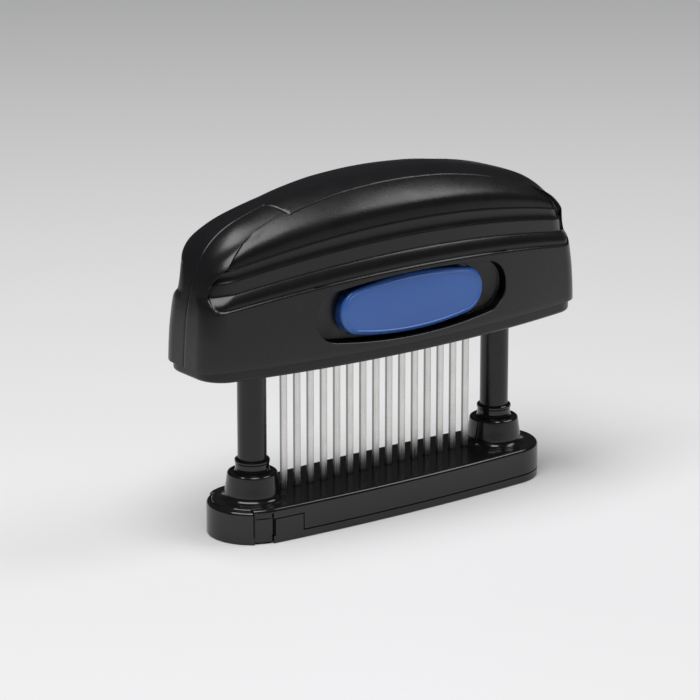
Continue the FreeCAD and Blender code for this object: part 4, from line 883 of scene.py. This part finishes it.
def build_stage():
    n, radius = 64, 6.0
    verts, faces = [(0, 0, 0)], []
    rings = [0.15, 0.4, 0.8, 1.4, 2.4, 4.0, radius]
    for r in rings:
        for i in range(n):
            a = 2 * math.pi * i / n
            verts.append((r * 1000 * math.cos(a), r * 1000 * math.sin(a), 0))
    for i in range(n):
        faces.append((0, 1 + i, 1 + (i + 1) % n))
    for j in range(len(rings) - 1):
        for i in range(n):
            a, b = 1 + j * n + i, 1 + j * n + (i + 1) % n
            faces.append((a, a + n, b + n, b))
    floor = add_mesh("floor", verts, faces)
    mat, nt, bsdf = new_material("floor_paper")
    tc = nt.nodes.new("ShaderNodeTexCoord")
    n1 = noise(nt, tc.outputs["Object"], 3.0, 2.0, 0.5)
    # painted shade: the paper's colour darkens gently towards the back of the table, standing in for the light falling
    # off
    along = nt.nodes.new("ShaderNodeVectorMath")
    along.operation = "DOT_PRODUCT"
    along.inputs[1].default_value = (0.595, 0.803, 0.0)
    nt.links.new(tc.outputs["Object"], along.inputs[0])
    ramp = nt.nodes.new("ShaderNodeValToRGB")
    nt.links.new(ranged(nt, along.outputs["Value"], 0.0, 1.0, -0.2, 0.8), ramp.inputs["Fac"])
    stops = FLOOR_FALLOFF_STOPS
    while len(ramp.color_ramp.elements) < len(stops):
        ramp.color_ramp.elements.new(0.5)
    for e, (at, v) in zip(ramp.color_ramp.elements, stops):
        e.position = at
        e.color = (v, v, v * 1.01, 1)
    mix = nt.nodes.new("ShaderNodeMix")
    mix.data_type = "RGBA"
    mix.blend_type = "MULTIPLY"
    mix.inputs["Factor"].default_value = 1.0
    a, b = [i for i in mix.inputs if i.type == "RGBA"][:2]
    out = [o for o in mix.outputs if o.type == "RGBA"][0]
    nt.links.new(two_colours(nt, n1, (0.98, 0.98, 0.98), (1.0, 1.0, 1.0)), a)
    nt.links.new(ramp.outputs["Color"], b)
    nt.links.new(out, bsdf.inputs["Base Color"])
    bsdf.inputs["Roughness"].default_value = 0.45
    bsdf.inputs["Specular IOR Level"].default_value = 0.35
    floor.data.materials.append(mat)


def area_light(name, centre, target, size_x, size_y, power, colour=(1, 1, 1)):
    li = bpy.data.lights.new(name, "AREA")
    li.shape = "RECTANGLE"
    li.size, li.size_y = size_x, size_y
    li.energy = power
    li.color = colour
    ob = bpy.data.objects.new(name, li)
    scene.collection.objects.link(ob)
    ob.location = centre
    d = Vector(target) - Vector(centre)
    ob.rotation_euler = d.to_track_quat("-Z", "Y").to_euler()
    return ob


def direction(az, el):
    """Unit vector from the object towards an azimuth (0 is -Y, 90 is +X) and elevation."""
    a, e = math.radians(az), math.radians(el)
    return Vector((math.sin(a) * math.cos(e), -math.cos(a) * math.cos(e), math.sin(e)))


build_stage()
world = bpy.data.worlds.new("studio")
scene.world = world
world.use_nodes = True
bg = world.node_tree.nodes["Background"]
bg.inputs["Color"].default_value = (0.92, 0.95, 1.0, 1)
bg.inputs["Strength"].default_value = 0.045
TARGET = (0, 0, 0.06)
area_light("top_box", Vector((-0.42, -0.17, 1.38)), (0.0, 0.0, 0.0), 1.25, 1.25, 31)
area_light("side_box", direction(66, 50) * 1.5, (0.0, 0.0, 0.08), 0.6, 0.6, 5)

cam_data = bpy.data.cameras.new("camera")
cam = bpy.data.objects.new("camera", cam_data)
scene.collection.objects.link(cam)
cam_data.sensor_width = 36.0
cam_data.sensor_fit = "HORIZONTAL"
cam_data.lens = 36.0 * 3810.186471462096 / 700.0
cam_data.clip_start, cam_data.clip_end = 0.01, 50


CAM_POS = Vector((-673.9, -896.4, 383.8))
back = direction(-36.53, 16.63)
right = Vector((math.cos(math.radians(-36.53)), math.sin(math.radians(-36.53)), 0))
up = back.cross(right)
m = Matrix((right, up, back)).transposed().to_4x4()
m.translation = CAM_POS * MM
cam.matrix_world = m
scene.camera = cam
scene.view_settings.view_transform = "Standard"

# ----------------------------------------------------------------------------
# final update of the view layer
# ----------------------------------------------------------------------------
bpy.context.view_layer.update()
